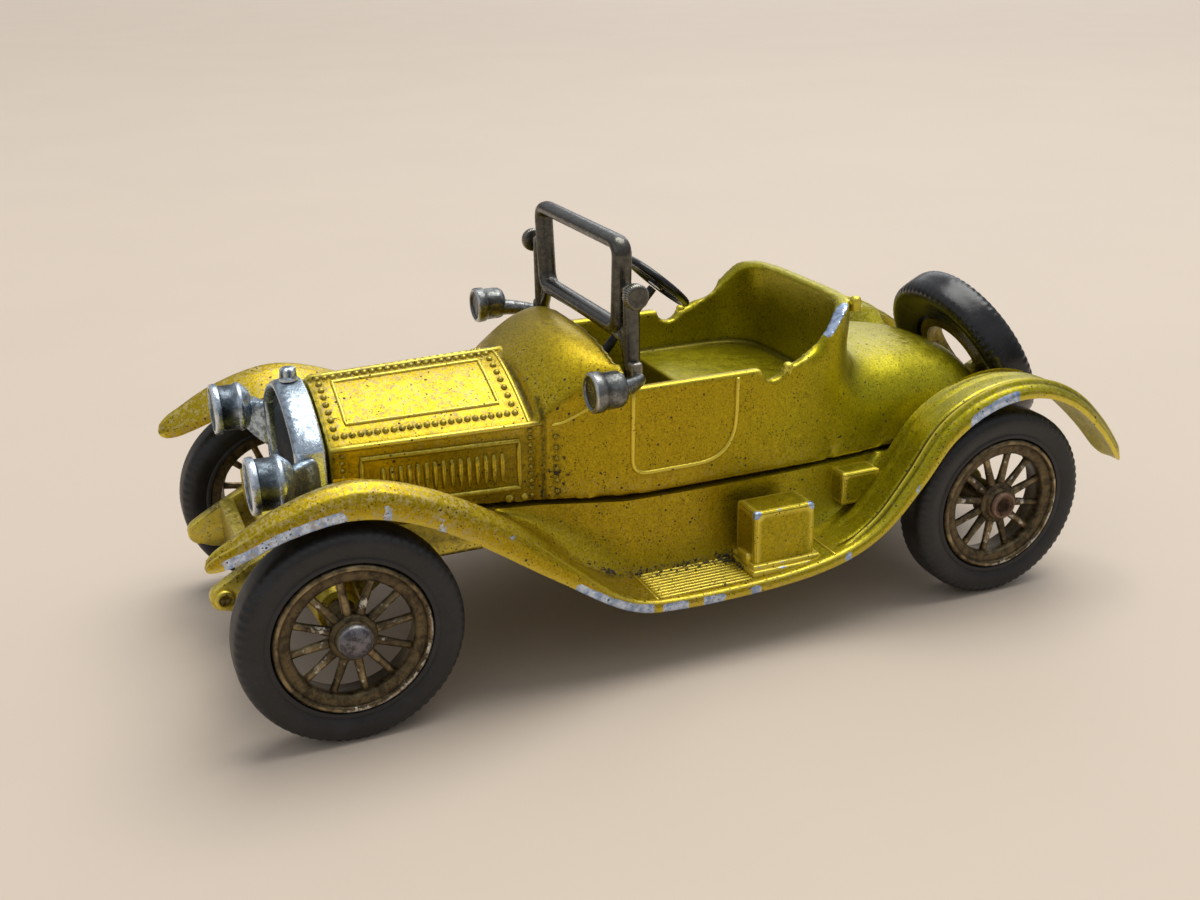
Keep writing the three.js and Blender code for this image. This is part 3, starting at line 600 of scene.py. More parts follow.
def plating(name, bright, dark, rough, edge, mottle=1.0, coat=0.0):
    """Old vacuum plating: bright with dull darker mottling, painted shade in corners, and edges
    lighter where rubbed and as a painted highlight.
    """
    s = Shader(name, Metallic=0.95, Coat_Weight=coat)
    bend = s.attribute("bend")
    mottled = s.noise(1.6, 5, 0.7)
    base = s.blend(s.ramp(mottled, 0.42, 0.62, 0.0, 0.75 * mottle), bright, dark)
    # Painted shade in the corners.
    base = s.blend(s.ramp(bend, -0.9, -0.05, 0.85, 0.0), base, tuple(c * 0.25 for c in dark))
    # Lighter on the edges: rubbed plating, and a painted highlight.
    rubbed = s.ramp(bend, 0.4, 2.4, 0.0, 0.8) + (mottled - 0.6)
    base = s.blend(s.ramp(rubbed, 0.1, 0.5, 0.0, 0.85), base, edge)
    speck = s.cells(1.7) < s.ramp(s.noise(0.7, 2), 0.45, 0.75, 0.03, 0.15)
    base = s.blend(speck * 0.8, base, (0.02, 0.02, 0.02))
    s.set("Base Color", base)
    s.set("Roughness", s.ramp(mottled, 0.35, 0.7, rough, rough + 0.25 * mottle) + speck * 0.3)
    s.bump(s.noise(2.2, 4, 0.65), 0.45, 0.00010)
    s.bump(s.noise(7.0, 3, 0.7), 0.35, 0.00003)
    return s.material


def antique_brass(name):
    """Dark bronze plating rubbed to brass on edges, with dull brown patches and silver scrapes,
    and painted shade, near black, in the hollows.
    """
    s = Shader(name, Metallic=0.85)
    bend = s.attribute("bend")
    mottled = s.noise(1.4, 5, 0.7)
    base = s.blend(s.ramp(mottled, 0.35, 0.65), (0.05, 0.038, 0.022), (0.16, 0.12, 0.062))
    rubbed = s.ramp(bend, 0.3, 2.4, 0.0, 0.42) + (s.noise(0.5, 3, 0.6) - 0.5) * 1.4
    base = s.blend(s.ramp(rubbed, 0.20, 0.60, 0.0, 0.85), base, (0.44, 0.33, 0.17))
    scrape = s.attribute("rub") + (s.noise(0.8, 5, 0.75) - 0.5) * 1.5
    base = s.blend(s.ramp(scrape, 0.58, 0.70), base, (0.60, 0.57, 0.48))
    # Painted shade, near black, in the hollows.
    base = s.blend(s.ramp(bend, -1.2, -0.1, 0.9, 0.0), base, (0.010, 0.008, 0.005))
    s.set("Base Color", base)
    s.set("Roughness", s.ramp(mottled, 0.3, 0.7, 0.34, 0.55))
    s.bump(s.noise(3.0, 4, 0.6), 0.45, 0.00008)
    return s.material


def black_rubber(name, shade, rough):
    """Moulded black plastic or rubber: slightly greyed by handling, finely grained."""
    s = Shader(name)
    haze = s.noise(0.45, 4, 0.6)
    black = (shade, shade, shade * 1.05)
    handled = (shade * 2.2, shade * 2.2, shade * 2.5)
    base = s.blend(s.ramp(haze, 0.4, 0.7), black, handled)
    edge = (shade * 5, shade * 5, shade * 5.3)
    base = s.blend(s.ramp(s.attribute("bend"), 0.6, 3.0, 0.0, 0.4), base, edge)
    base = s.blend(s.ramp(s.noise(5.5, 3, 0.7), 0.62, 0.75) * 0.3, base, (0.16, 0.15, 0.14))
    s.set("Base Color", base)
    s.set("Roughness", s.ramp(haze, 0.3, 0.7, rough, rough + 0.12))
    s.bump(s.noise(7.0, 3, 0.6), 0.25, 0.00004)
    s.bump(s.noise(0.8, 3), 0.3, 0.0001)
    return s.material


def core_mesh(name):
    """The radiator's dark core."""
    s = Shader(name, Metallic=0.6, Roughness=0.45)
    grain = s.noise(4.0, 3)
    s.set("Base Color", s.blend(grain, (0.015, 0.018, 0.02), (0.06, 0.065, 0.07)))
    s.bump(grain, 0.4, 0.00005)
    return s.material


def floor_paper(name):
    s = Shader(name, Roughness=0.75)
    s.set("Base Color", s.blend(s.noise(0.02, 3), (0.555, 0.465, 0.375), (0.595, 0.50, 0.405)))
    return s.material


PAINT = candy_paint("lime_gold_paint")
PLATED = plating("old_bright_plating", (0.46, 0.54, 0.62), (0.09, 0.12, 0.15), 0.18, (0.80, 0.86, 0.92))
LAMP_STEEL = plating("lamp_steel", (0.22, 0.225, 0.22), (0.07, 0.07, 0.065), 0.22, (0.62, 0.64, 0.64))
GUNMETAL = plating(
    "dark_plating", (0.10, 0.095, 0.08), (0.04, 0.036, 0.03), 0.24, (0.30, 0.28, 0.23), 0.8, 0.4
)
STEEL = plating("axle_steel", (0.20, 0.19, 0.21), (0.06, 0.055, 0.06), 0.36, (0.45, 0.43, 0.42))
RUSTY = plating("rusty_steel", (0.16, 0.10, 0.07), (0.06, 0.035, 0.025), 0.5, (0.30, 0.20, 0.14))
BRASS = antique_brass("antique_brass")
TYRE = black_rubber("tyre_black", 0.008, 0.42)
GLOSS_BLACK = black_rubber("gloss_black", 0.005, 0.18)
CORE = core_mesh("radiator_core_dark")


# ---- body casting ------------------------------------------------------------------------------


LOWEST_SILL_Y = 4
LOWEST_SILL_Z = 14.3
SILL_CURVE = 0.0012


def sill_z(y):
    """The height of the body's lower edge, which sags a little between the axles."""
    return LOWEST_SILL_Z + SILL_CURVE * (np.asarray(y, float) - LOWEST_SILL_Y) ** 2


def station_at(y, sill, shoulder, shoulder_z, top, spread, crown):
    """A cross-section of the body: half widths at the sill and the shoulder, heights of the
    shoulder and the top, and how square the top is across (spread) and upwards (crown)."""
    return dict(
        y=y, sill=sill, shoulder=shoulder, shoulder_z=shoulder_z, top=top, spread=spread, crown=crown
    )


BONNET_FRONT = station_at(BONNET_FRONT_Y, 7.6, 7.7, 21.9, 26.0, 1.5, 1.0)
BONNET_REAR = station_at(BONNET_REAR_Y, 9.5, 9.7, 22.2, 26.3, 1.5, 1.0)
SCUTTLE_FRONT = station_at(BONNET_REAR_Y - 0.4, 9.6, 9.9, 22.4, 26.4, 2.0, 1.3)
SCUTTLE_REAR = station_at(SCUTTLE_REAR_Y, 11.4, 12, 26.2, 28.3, 2.4, 1.5)
SCUTTLE_BULGES = dict(top=1.2, shoulder_z=0.5, shoulder=-0.5)
SECTION_STEPS = 56


def between_stations(start, end, t, bulges=None):
    station = {key: mix(start[key], end[key], t) for key in start}
    for key, amount in (bulges or {}).items():
        station[key] += amount * math.sin(math.pi * t)
    return station


def body_section(station, inset=0.0, steps=SECTION_STEPS):
    """Straight sides up to the shoulder, then a superellipse over the top."""
    half = station["shoulder"] - inset
    rise = station["top"] - station["shoulder_z"] - inset * 0.8
    y = station["y"]
    outline = [(-(station["sill"] - inset), y, sill_z(y)), (station["sill"] - inset, y, sill_z(y))]
    for angle in np.linspace(0, math.pi, steps + 1):
        c = math.cos(angle)
        across = math.copysign(abs(c) ** (2 / station["spread"]), c)
        up = max(math.sin(angle), 0) ** (2 / station["crown"])
        outline.append((half * across, y, station["shoulder_z"] + rise * up))
    return outline


def bonnet_solid():
    stations = [between_stations(BONNET_FRONT, BONNET_REAR, t) for t in (0, 0.5, 1)]
    return loft([body_section(station) for station in stations])


def scuttle_solid():
    steps = 16
    shares = [i / steps for i in range(steps + 1)]
    stations = [between_stations(SCUTTLE_FRONT, SCUTTLE_REAR, t, SCUTTLE_BULGES) for t in shares]
    return loft([body_section(station) for station in stations])


DECK_ROWS = [
    # Place along the car, half width, height of the top, crown.
    [15.5, 11.45, 23.6, 4.2],
    [21, 11.2, 23.4, 3.0],
    [26, 10.7, 23.1, 2.2],
    [30, 10.0, 22.4, 2.2],
    [33, 8.9, 21.4, 2.2],
    [TAIL_Y - 0.4, 7.2, 20.3, 2.2],
]


def deck_solid():
    sections = []
    for y, half, top, crown in smooth_rows(DECK_ROWS, 40):
        station = station_at(y, half, half, sill_z(y) + 0.5, top, 3, crown)
        sections.append(body_section(station))
    # The tail's end rounds over.
    for inset, further in ((0.35, 0.25), (0.9, 0.4)):
        end = dict(station, y=y + further, sill=half - inset, shoulder=half - inset, top=top - inset)
        sections.append(body_section(end))
    return loft(sections)


TUB_SIDE_END_Y = 8.5
TUB_SQUARENESS = 5.2


def tub_plan(side_half, rear_half, inset):
    """The tub's outline from above: straight sides, then a superellipse round the back."""
    steps = 40
    power = 2 / TUB_SQUARENESS
    front_y = SCUTTLE_REAR_Y - 0.8 + inset / 3
    depth = TUB_REAR_Y - TUB_SIDE_END_Y - inset
    right = [(side_half - inset, front_y)]
    for i in range(steps):
        angle = math.pi / 2 * i / steps
        half = mix(side_half, rear_half, i / steps) - inset
        right.append((half * math.cos(angle) ** power, TUB_SIDE_END_Y + depth * math.sin(angle) ** power))
    left = [(-x, y) for x, y in reversed(right)]
    return [*right, (0, TUB_SIDE_END_Y + depth), *left]


def tub_solid(bottom_z, top_z, inset):
    levels = [(bottom_z, 11.4, 11.2), (DOOR_TOP_Z, 11.9, 10.8), (top_z, 11.9, 10.5)]
    return loft([[(x, y, z) for x, y in tub_plan(side, rear, inset)] for z, side, rear in levels])


NOTCH_Y = 7.0
NOTCH_RADIUS = 1.3


def rim_cutter():
    """Everything above the tub's rim, as a prism across the car."""
    above = 40
    start = (BONNET_REAR_Y, DOOR_TOP_Z)
    notch = arc((NOTCH_Y + NOTCH_RADIUS, DOOR_TOP_Z), NOTCH_RADIUS, 180, 342, 14)
    sweep = bezier([notch[-1], (12.5, 25.2), (14.2, 26.7), (15.9, 28.7)], 14)
    top = bezier([sweep[-1], (16.8, RIM_TOP_Z), (TUB_REAR_Y + 1, RIM_TOP_Z)], 10)
    outline = [(BONNET_REAR_Y, above), start, *notch, *sweep[1:], *top[1:], (TUB_REAR_Y + 1, above)]
    return prism([tuple(p) for p in outline], -20, 20)


def bonnet_top_point(y, t):
    """A point on the bonnet's left top panel and its outward normal; t runs from the shoulder (0)
    to the centre ridge (1) along the surface."""
    along = (y - BONNET_FRONT_Y) / (BONNET_REAR_Y - BONNET_FRONT_Y)
    station = between_stations(BONNET_FRONT, BONNET_REAR, along)
    steps = 120
    outline = np.array(body_section(station, steps=steps)[2 : 2 + steps // 2 + 1])
    lengths = lengths_along(outline)
    lengths /= lengths[-1]

    def at(share):
        return np.array([np.interp(share, lengths, column) for column in outline.T])

    step = at(min(t + 0.02, 1)) - at(max(t - 0.02, 0))
    normal = np.array([step[2], 0, -step[0]])
    return at(t), normal / np.linalg.norm(normal)


def side_x(y, z):
    """The half width of the body's side wall, at a place along the car and a height."""
    if y < BONNET_REAR_Y:
        t = (y - BONNET_FRONT_Y) / (BONNET_REAR_Y - BONNET_FRONT_Y)
        station = between_stations(BONNET_FRONT, BONNET_REAR, t)
    elif y < SCUTTLE_REAR_Y:
        t = (y - SCUTTLE_FRONT["y"]) / (SCUTTLE_REAR_Y - SCUTTLE_FRONT["y"])
        station = between_stations(SCUTTLE_FRONT, SCUTTLE_REAR, t, SCUTTLE_BULGES)
    else:
        return mix(11.4, 11.9, (z - LOWEST_SILL_Z) / (DOOR_TOP_Z - LOWEST_SILL_Z))
    rise = (z - sill_z(y)) / (station["shoulder_z"] - sill_z(y))
    return mix(station["sill"], station["shoulder"], rise)


def side_path(places):
    """(y, z) places laid on the body's side wall."""
    return [(side_x(y, z), y, z) for y, z in places]


def straight(a, b, steps):
    a = np.array(a, float)
    b = np.array(b, float)
    return [tuple(mix(a, b, t)) for t in np.linspace(0, 1, steps + 1)]


def rectangle(y0, y1, low, high, steps):
    """Places round a rectangle, for a closed ring."""
    corners = [(y0, low), (y1, low), (y1, high), (y0, high)]
    places = []
    for start, end in zip(corners, [*corners[1:], corners[0]]):
        places += straight(start, end, steps)[:-1]
    return places


RIVET_CENTRES = []


def side_rivet(y, z, radius, height, sides=10):
    return dome((side_x(y, z), y, z), (1, 0, 0), radius, height, sides)


def bonnet_details():
    solids = []
    # Centre hinge ridge and the shoulder ridges.
    hinge_places = np.linspace(BONNET_FRONT_Y + 0.2, BONNET_REAR_Y - 0.2, 12)
    hinge = [bonnet_top_point(y, 1.0)[0] for y in hinge_places]
    centre = [tube(np.array(hinge) * [0, 1, 1], 0.3, 10)]
    shoulder_places = np.linspace(BONNET_FRONT_Y + 0.2, BONNET_REAR_Y - 0.1, 12)
    shoulder = [bonnet_top_point(y, 0.0)[0] for y in shoulder_places]
    solids.append(tube(np.array(shoulder) + [0.0, 0, -0.05], 0.27, 10))
    # The raised rectangle on each half panel.
    places = rectangle(BONNET_FRONT_Y + 2.0, BONNET_REAR_Y - 3.0, 0.27, 0.86, 14)
    solids.append(tube([bonnet_top_point(y, t)[0] for y, t in places], 0.19, 8, loop=True))
    # Rivets all round it.
    front_y, rear_y, low_t, high_t = BONNET_FRONT_Y + 0.85, BONNET_REAR_Y - 1.9, 0.14, 0.95
    along = 23
    across = 8
    places = []
    for i in range(along):
        y = mix(front_y, rear_y, i / (along - 1))
        places += [(y, high_t), (y, low_t)]
    for i in range(1, across):
        t = mix(low_t, high_t, i / across)
        places += [(front_y, t), (rear_y, t)]
    for y, t in places:
        point, normal = bonnet_top_point(y, t)
        solids.append(dome(point, normal, 0.3, 0.25))
        RIVET_CENTRES.append(point)
    # The double hoop at the rear edge.
    for y, radius in ((BONNET_REAR_Y - 1.05, 0.16), (BONNET_REAR_Y - 0.25, 0.26)):
        arch = [bonnet_top_point(y, t)[0] for t in np.linspace(0.0, 1.0, 26)]
        solids.append(tube(arch, radius, 8))
    # Side panel: a raised rectangle, its louvres and two columns of rivets.
    panel = side_path(rectangle(-29.6, -15.9, 16.3, 20.75, 8))
    solids.append(tube(panel, 0.27, 8, loop=True))
    louvres = 15
    for i in range(louvres):
        y = mix(-27.8, -17.4, i / (louvres - 1))
        slat = side_path(straight((y, 17.1), (y, 19.7), 4))
        solids.append(tube(slat, [0.14, 0.24, 0.27, 0.27, 0.2], 8))
    columns = ((-31.2, 16.0, 21.2, 9), (-14.85, 15.4, 21.6, 10), (-12.6, 15.6, 20.8, 6))
    for y, low, high, number in columns:
        for z in (mix(low, high, i / (number - 1)) for i in range(number)):
            solids.append(side_rivet(y, z, 0.24, 0.2))
            RIVET_CENTRES.append(np.array((side_x(y, z), y, z)))
    # The two small bosses low at the panel's rear corner.
    for y, z, radius in ((-16.9, 15.35, 0.42), (-15.5, 15.3, 0.36)):
        solids.append(side_rivet(y, z, radius, 0.22, 14))
    return [*centre, *both(solids)]


def body_details():
    solids = []
    # Door bead: down the front, along the bottom and up the latch side.
    front_y, rear_y, bottom_z, top_z = -5.9, 4.5, 16.5, DOOR_TOP_Z - 0.5
    door = [
        *straight((front_y, top_z), (front_y, bottom_z + 1.5), 8),
        *bezier([(front_y, bottom_z + 1.5), (front_y, bottom_z), (front_y + 1.6, bottom_z)], 5)[1:],
        *straight((front_y + 1.6, bottom_z), (rear_y - 4, bottom_z), 6)[1:],
        *bezier([(rear_y - 4, bottom_z), (rear_y, bottom_z), (rear_y, bottom_z + 4.4)], 10)[1:],
        *straight((rear_y, bottom_z + 4.4), (rear_y, top_z), 6)[1:],
    ]
    solids.append(tube(side_path(door), 0.24, 8))
    # The seam from the scuttle's crown down to the door's front corner.
    seam = [(-12.9, 21.9), (-11.8, 22.1), (-9.6, 23.2), (-7.4, 24.6)]
    solids.append(tube(side_path(smooth_rows(seam, 14)), 0.15, 8))
    # Lugs on the rim, by the notch on both sides and at the left rear corner.
    lug = facing_z(turned([(-0.5, 0.5), (0.2, 0.5), (0.42, 0.34), (0.5, 0)], 16))
    solids.append(moved(lug, (11.35, 10.0, 24.45)))
    peg = facing_z(turned([(-0.9, 0.5), (0.0, 0.55), (0.3, 0.5), (0.45, 0.3), (0.5, 0)], 16))
    return [*both(solids), moved(peg, (9.6, 18.1, 29.35))]


def in_tub(points):
    """How far out a place is in the tub's plan: 1 on its outside, about 0.55 inside its wall."""
    x, y, _ = points.T
    back = np.maximum(y - TUB_SIDE_END_Y, 0) / (TUB_REAR_Y - TUB_SIDE_END_Y)
    return (np.abs(x) / 11.3) ** TUB_SQUARENESS + back**TUB_SQUARENESS


def near_rivets(points, reach):
    """1 at a rivet on either side of the bonnet, falling to 0 away from it."""
    nearest = np.full(len(points), 9.0)
    folded = points.copy()
    folded[:, 0] = np.abs(folded[:, 0])
    for centre in RIVET_CENTRES:
        nearest = np.minimum(nearest, np.linalg.norm(folded - centre, axis=1))
    return np.exp(-((nearest / reach) ** 2))


def front_to_rear(y):
    """How gold the lacquer is: 1 over the bonnet, falling to 0 on the tail."""
    return 1 - smoothstep(y, -10, 24)


def body_masks(points):
    x, y, z = points.T
    rim_z = np.interp(y, [9, 12.5, 14.2, 15.9, 17.0, 20], [24.6, 25.6, 26.9, 28.7, 29.5, 29.6])
    on_rim = smoothstep(-np.abs(z - rim_z), -0.55, -0.2)
    near_side = smoothstep(x, 9, 9.8)
    wear = 0.85 * on_rim * near_side * smoothstep(y, 13.6, 14.6) * smoothstep(-y, -17.6, -16.8)
    inside = smoothstep(-in_tub(points), -0.8, -0.65) * (z > FLOOR_Z - 0.2) * (y > SCUTTLE_REAR_Y)
    top = smoothstep(-y, 10, 16) * (z > 21)
    low = smoothstep(-z, -17.5, -15)
    panel = smoothstep(-y, 17, 19) * smoothstep(z, 22.6, 23.4)
    dirt = 0.35 * low + 0.4 * top + 0.5 * panel + 0.8 * smoothstep(y, 19, 22) * smoothstep(z, 22.0, 23.0)
    joint = smoothstep(-np.abs(y + 13.75), -0.32, -0.12) * (np.abs(x) > 8.5)
    # Painted shade, with some dirt: the bonnet's lower side panel darkened.
    side_panel_shade_and_dirt = smoothstep(-y, 13, 15) * smoothstep(-z, -21.6, -21.0) * (np.abs(x) > 7)
    grime_and_shade = np.maximum(np.maximum(0.9 * near_rivets(points, 0.40), 0.85 * joint), 0.5 * side_panel_shade_and_dirt)
    near_joint = smoothstep(-np.abs(y + 13), -3.5, -1.0) * smoothstep(-z, -21.5, -18)
    soil = 0.45 * near_joint + 0.1 * top
    return {
        "wear": wear,
        "dirt": np.clip(dirt * (1 - inside), 0, 1),
        "grime_and_shade": grime_and_shade,
        "soil": soil * (1 - inside),
        # Kept lime inside the tub: a painted reflection of the lacquer in itself.
        "gold_tint": front_to_rear(y) * (1 - inside),
    }


def tail_blend(points):
    """Where the tub's rear corners flow into the tail."""
    _, y, z = points.T
    along = smoothstep(y, 11.5, 14) * smoothstep(-y, -25, -21.5)
    outside = smoothstep(in_tub(points), 0.72, 0.9)
    return along * outside * smoothstep(-z, -27.2, -25.4) * smoothstep(z, 15.2, 16.2)


def scuttle_blend(points):
    """Where the scuttle flows into the tub's front."""
    x, y, z = points.T
    along = smoothstep(-np.abs(y + 7.2), -2.6, -1.2)
    return along * smoothstep(np.abs(x), 10.2, 10.8) * smoothstep(-z, -24.4, -23.6)


def make_body():
    shell = object_of("body_piece", [bonnet_solid()])
    tub = object_of("tub", [tub_solid(LOWEST_SILL_Z, 31, 0)])
    combine(tub, "DIFFERENCE", [rim_cutter()])
    combine(shell, "UNION", [scuttle_solid(), deck_solid(), solid_of(tub)])
    combine(shell, "DIFFERENCE", [tub_solid(FLOOR_Z, 32, WALL)])
    seat = object_of("seat", [tub_solid(FLOOR_Z - 1, SEAT_TOP_Z, WALL - 0.3)])
    seat_space = box(-12, 12, SEAT_FRONT_Y, TUB_REAR_Y - 0.5, FLOOR_Z - 0.5, SEAT_TOP_Z)
    combine(seat, "INTERSECT", [seat_space])
    combine(shell, "UNION", [solid_of(seat)])
    softened(shell, 0.28, 4)
    relaxed(shell, tail_blend, 320)
    relaxed(shell, scuttle_blend, 25)
    solids = [solid_of(shell), *as_relief([*bonnet_details(), *body_details()])]
    piece("body_shell", solids, "car", ["body_casting"], PAINT, body_masks)


# ---- chassis casting ---------------------------------------------------------------------------

LIP_POINTS = [
    [-43.9, 16.7], [-41.2, 17.8], [-37.6, 19.2], [-33, 19.9], [-28.5, 18.9], [-23.5, 16.3],
    [-16, 11.1], [-9.5, 6.9], [-4, BOARD_LIP_Z], [6, BOARD_LIP_Z + 0.15], [12.5, 7.1], [17, 9.3],
    [20.8, 13.2], [24.2, 17.3], [28.6, 19.7], [33.4, 20.1], [37.8, 18.5], [41.6, 15.3],
    [45, 11.2],
]


def even_lip_path(count):
    """Places evenly spaced along the fender's lower lip, and the normals there."""
    dense = smooth_rows(LIP_POINTS, 900)
    lengths = lengths_along(dense)
    wanted = np.linspace(0, lengths[-1], count)
    path = np.array([np.interp(wanted, lengths, column) for column in dense.T]).T
    tangents = np.gradient(path, axis=0)
    tangents /= np.linalg.norm(tangents, axis=1)[:, None]
    normals = np.stack([-tangents[:, 1], tangents[:, 0]], 1)
    return path, normals


def lip_z(y):
    dense = smooth_rows(LIP_POINTS, 400)
    return np.interp(y, dense[:, 0], dense[:, 1])


# Heights above the lip path: of the lip itself, the crest and the inner edge.
BOARD_SECTION = np.array([1.1, 1.1, 1.1])
FRONT_SECTION = np.array([1.9, 2.75, 0.8])
REAR_SECTION = np.array([1.25, 1.9, 1.3])


def hump(x, centre, width):
    return np.exp(-(((x - centre) / width) ** 2))


def fender_section(lip, crest, inner, narrowing, front, rear, tip):
    """X across, and height above the lip path. front and rear say how much of a front or a rear
    fender this is, for the ridges on each."""
    crest_x = FENDER_OUTER_X - 1.2
    skin = 0.8
    slope = mix(crest, inner, 0.25)
    corners = [
        (FENDER_OUTER_X - 0.35, 0.02), (FENDER_OUTER_X, 0.0), (FENDER_OUTER_X + 0.1, 0.12),
        (FENDER_OUTER_X + 0.12, 0.5 * lip), (FENDER_OUTER_X - 0.02, 0.85 * lip),
        (FENDER_OUTER_X - 0.4, mix(lip, crest, 0.35)), (crest_x, crest),
    ]
    inward = [(crest_x - 0.9, mix(crest, slope, 0.3)), (15.5, slope), (12.6, inner)]
    top = smooth_rows([*corners[3:], *inward], 46)
    # Rear fender: a bead just inside the lip, and a ridge further in, each with a hollow beside it.
    x = top[:, 0]
    raised = 0.26 * hump(x, 17.6, 0.2) + 0.34 * hump(x, 14.1, 0.26)
    hollow = 0.16 * hump(x, 17.1, 0.2) + 0.14 * hump(x, 13.5, 0.25)
    top[:, 1] += rear * (raised - hollow) + front * 0.06 * hump(x, 18.2, 0.2)
    under = [
        (12.6, inner - skin),
        (15.5, slope - skin),
        (crest_x, mix(lip, crest, 0.6) - skin),
        (FENDER_OUTER_X - 0.6, 0.1),
    ]
    outline = np.array([*corners[:3], *top, *under])
    tip_x = crest_x - 0.6
    x = outline[:, 0]
    factor = np.where(x < tip_x, narrowing, narrowing**2)
    outline[:, 0] = mix(x, tip_x, factor)
    outline[:, 1] = mix(outline[:, 1], 0.45, tip)
    return outline


def fender_solid():
    count = 260
    path, normals = even_lip_path(count)
    reach = count / 34
    sections = []
    for i, ((y, z), (ny, nz)) in enumerate(zip(path, normals)):
        from_board = max(-9 - y, y - 14, 0)
        full = smoothstep(from_board, 0, 13)
        goal = FRONT_SECTION if y < 0 else REAR_SECTION
        lip, crest, inner = mix(BOARD_SECTION, goal, full)
        front_tip = 1 - min(i / (4 * reach), 1)
        rear_tip = 1 - min((count - 1 - i) / (8 * reach), 1)
        thinning = 1 - 0.45 * front_tip - 0.5 * rear_tip
        narrowing = 0.85 * front_tip**1.5 + 0.6 * rear_tip**2
        end = min(i, count - 1 - i) / 5
        tip = 0.0
        if end < 1:
            tip = 0.75 * (1 - math.sqrt(1 - (1 - end) ** 2))
            narrowing = mix(narrowing, 1, 0.45 * (1 - end) ** 2)
        front = full if y < 0 else 0.0
        rear = smoothstep(y, 12, 16)
        heights = (lip * thinning, crest * thinning, inner * thinning)
        outline = fender_section(*heights, narrowing, front, float(rear), tip)
        sections.append([(x, y + ny * up, z + nz * up) for x, up in outline])
    return loft(sections)


def body_side_x(y):
    """The half width of the body at its sill."""
    places = [BONNET_FRONT_Y, BONNET_REAR_Y, SCUTTLE_REAR_Y, 15.5, 21, 26, 30, 33, TAIL_Y]
    halves = [7.6, 9.5, 11.4, 11.3, 11.1, 10.7, 10.0, 8.9, 7.2]
    return np.interp(y, places, halves)


def chassis_top_z(y):
    return sill_z(y) - FIT_GAP


def valance_solid():
    """The splash panel from under the sill out to the fender or the running board."""
    count = 150
    steps = 18
    thickness = 0.9
    sections = []
    for i in range(count + 1):
        y = mix(-33, 36, i / count)
        inner = np.array([body_side_x(y) + FIT_GAP, chassis_top_z(y)])
        lift = smoothstep(max(-9 - y, y - 14, 0), 0, 14)
        outer = np.array([FENDER_INNER_X + 0.6, lip_z(y) + 1.1 + 0.3 * lift])
        upper = [(inner[0] - 2, inner[1])]
        drop = smoothstep(inner[1] - outer[1], -0.5, 1.5)
        for k in range(steps + 1):
            along = k / steps
            sag = along ** mix(1.0, 0.45, drop)
            upper.append((mix(inner[0], outer[0], along**1.2), mix(inner[1], outer[1], sag)))
        lower = [(x - 0.25, z - thickness) for x, z in reversed(upper)]
        sections.append([(x, y, z) for x, z in [*upper, *lower]])
    return loft(sections)


RAIL_X = (6.8, 8.0)
RAIL_BOTTOM_Z = 7.9
RAIL_ARCH_Z = 10.3


def rail_solid():
    front_nose = arc((-42.2, 10.2), 1.15, -90, -237.6, 12)
    front_top = bezier([front_nose[-1], (-40.5, 12.6), (-38, 13.8)], 8)
    top = [(y, float(chassis_top_z(y)) - 0.2) for y in range(-30, 25, 6)]
    rear_top = bezier([top[-1], (33, 14.6), (38.5, 12.4)], 8)
    rear_nose = arc((38.8, 11.4), 1.0, 90, -90, 10)
    rear_under = bezier([rear_nose[-1], (36, 9.6), (34, RAIL_BOTTOM_Z)], 6)
    outline = [
        (-38, RAIL_BOTTOM_Z),
        (-41.4, RAIL_BOTTOM_Z + 0.8),
        *front_nose,
        *front_top[1:],
        *top,
        *rear_top[1:],
        *rear_nose[1:],
        *rear_under[1:],
        (27, RAIL_BOTTOM_Z),
        (24, RAIL_ARCH_Z),
        (-27, RAIL_ARCH_Z),
        (-30, RAIL_BOTTOM_Z),
    ]
    return prism([tuple(p) for p in outline], *RAIL_X)


def deck_plate_solid():
    bottom = chassis_top_z(LOWEST_SILL_Y) - 1.1
    sections = []
    for y in np.linspace(-38, 36, 24):
        half = body_side_x(y) - 0.9
        top = chassis_top_z(y)
        sections.append([(-half, y, bottom), (half, y, bottom), (half, y, top), (-half, y, top)])
    return loft(sections)


def running_board_details():
    solids = []
    # Ribbed mat.
    for i in range(10):
        x = mix(13.0, 17.7, i / 9)
        solids.append(tube([(x, y, BOARD_TOP_Z + 0.02) for y in np.linspace(-6.1, 3.1, 12)], 0.17, 8))
    # Seams across the board in front of and behind the mat.
    for y in (-6.5, 11.6):
        across = [(x, y, float(lip_z(y)) + 1.12) for x in np.linspace(12.8, 18.2, 8)]
        solids.append(tube(across, 0.12, 8))
    return solids


def board_boxes():
    """The tool box on its plinth with a catch, and the small box behind it."""
    tool_box = box(13.3, 16.9, 3.8, 10.1, BOARD_TOP_Z, 13.0)
    small_box = box(11.4, 13.7, 15.0, 19.2, 10.4, 13.7)
    plinth = box(12.9, 17.7, 3.3, 10.9, BOARD_TOP_Z - 0.4, BOARD_TOP_Z + 0.55)
    step = box(13.1, 17.35, 3.5, 10.6, BOARD_TOP_Z + 0.3, BOARD_TOP_Z + 0.95)
    catch = box(14.3, 16.3, 3.35, 4.1, BOARD_TOP_Z + 0.6, BOARD_TOP_Z + 1.75)
    return [*bevelled([tool_box, small_box], 0.3, 3, 3), *bevelled([plinth, step, catch], 0.2, 2)]


LIP_WEAR = [
    # Bare spans of the lower lip on the left side: from y, to y, strength, height above the lip.
    (-43.9, -33.2, 0.92, 0.85),
    (-30.6, -29.4, 0.62, 1.3),
    (-26.4, -25.2, 0.60, 1.3),
    (-14.5, -6.9, 0.80, 0.8),
    (-6.2, -3.6, 0.86, 0.75),
    (-2.3, 0.1, 0.80, 0.75),
    (2.5, 3.7, 0.80, 0.75),
    (12.4, 13.4, 0.68, 0.8),
    (19.6, 20.6, 0.60, 1.0),
    (25.6, 31.0, 0.95, 0.95),
]


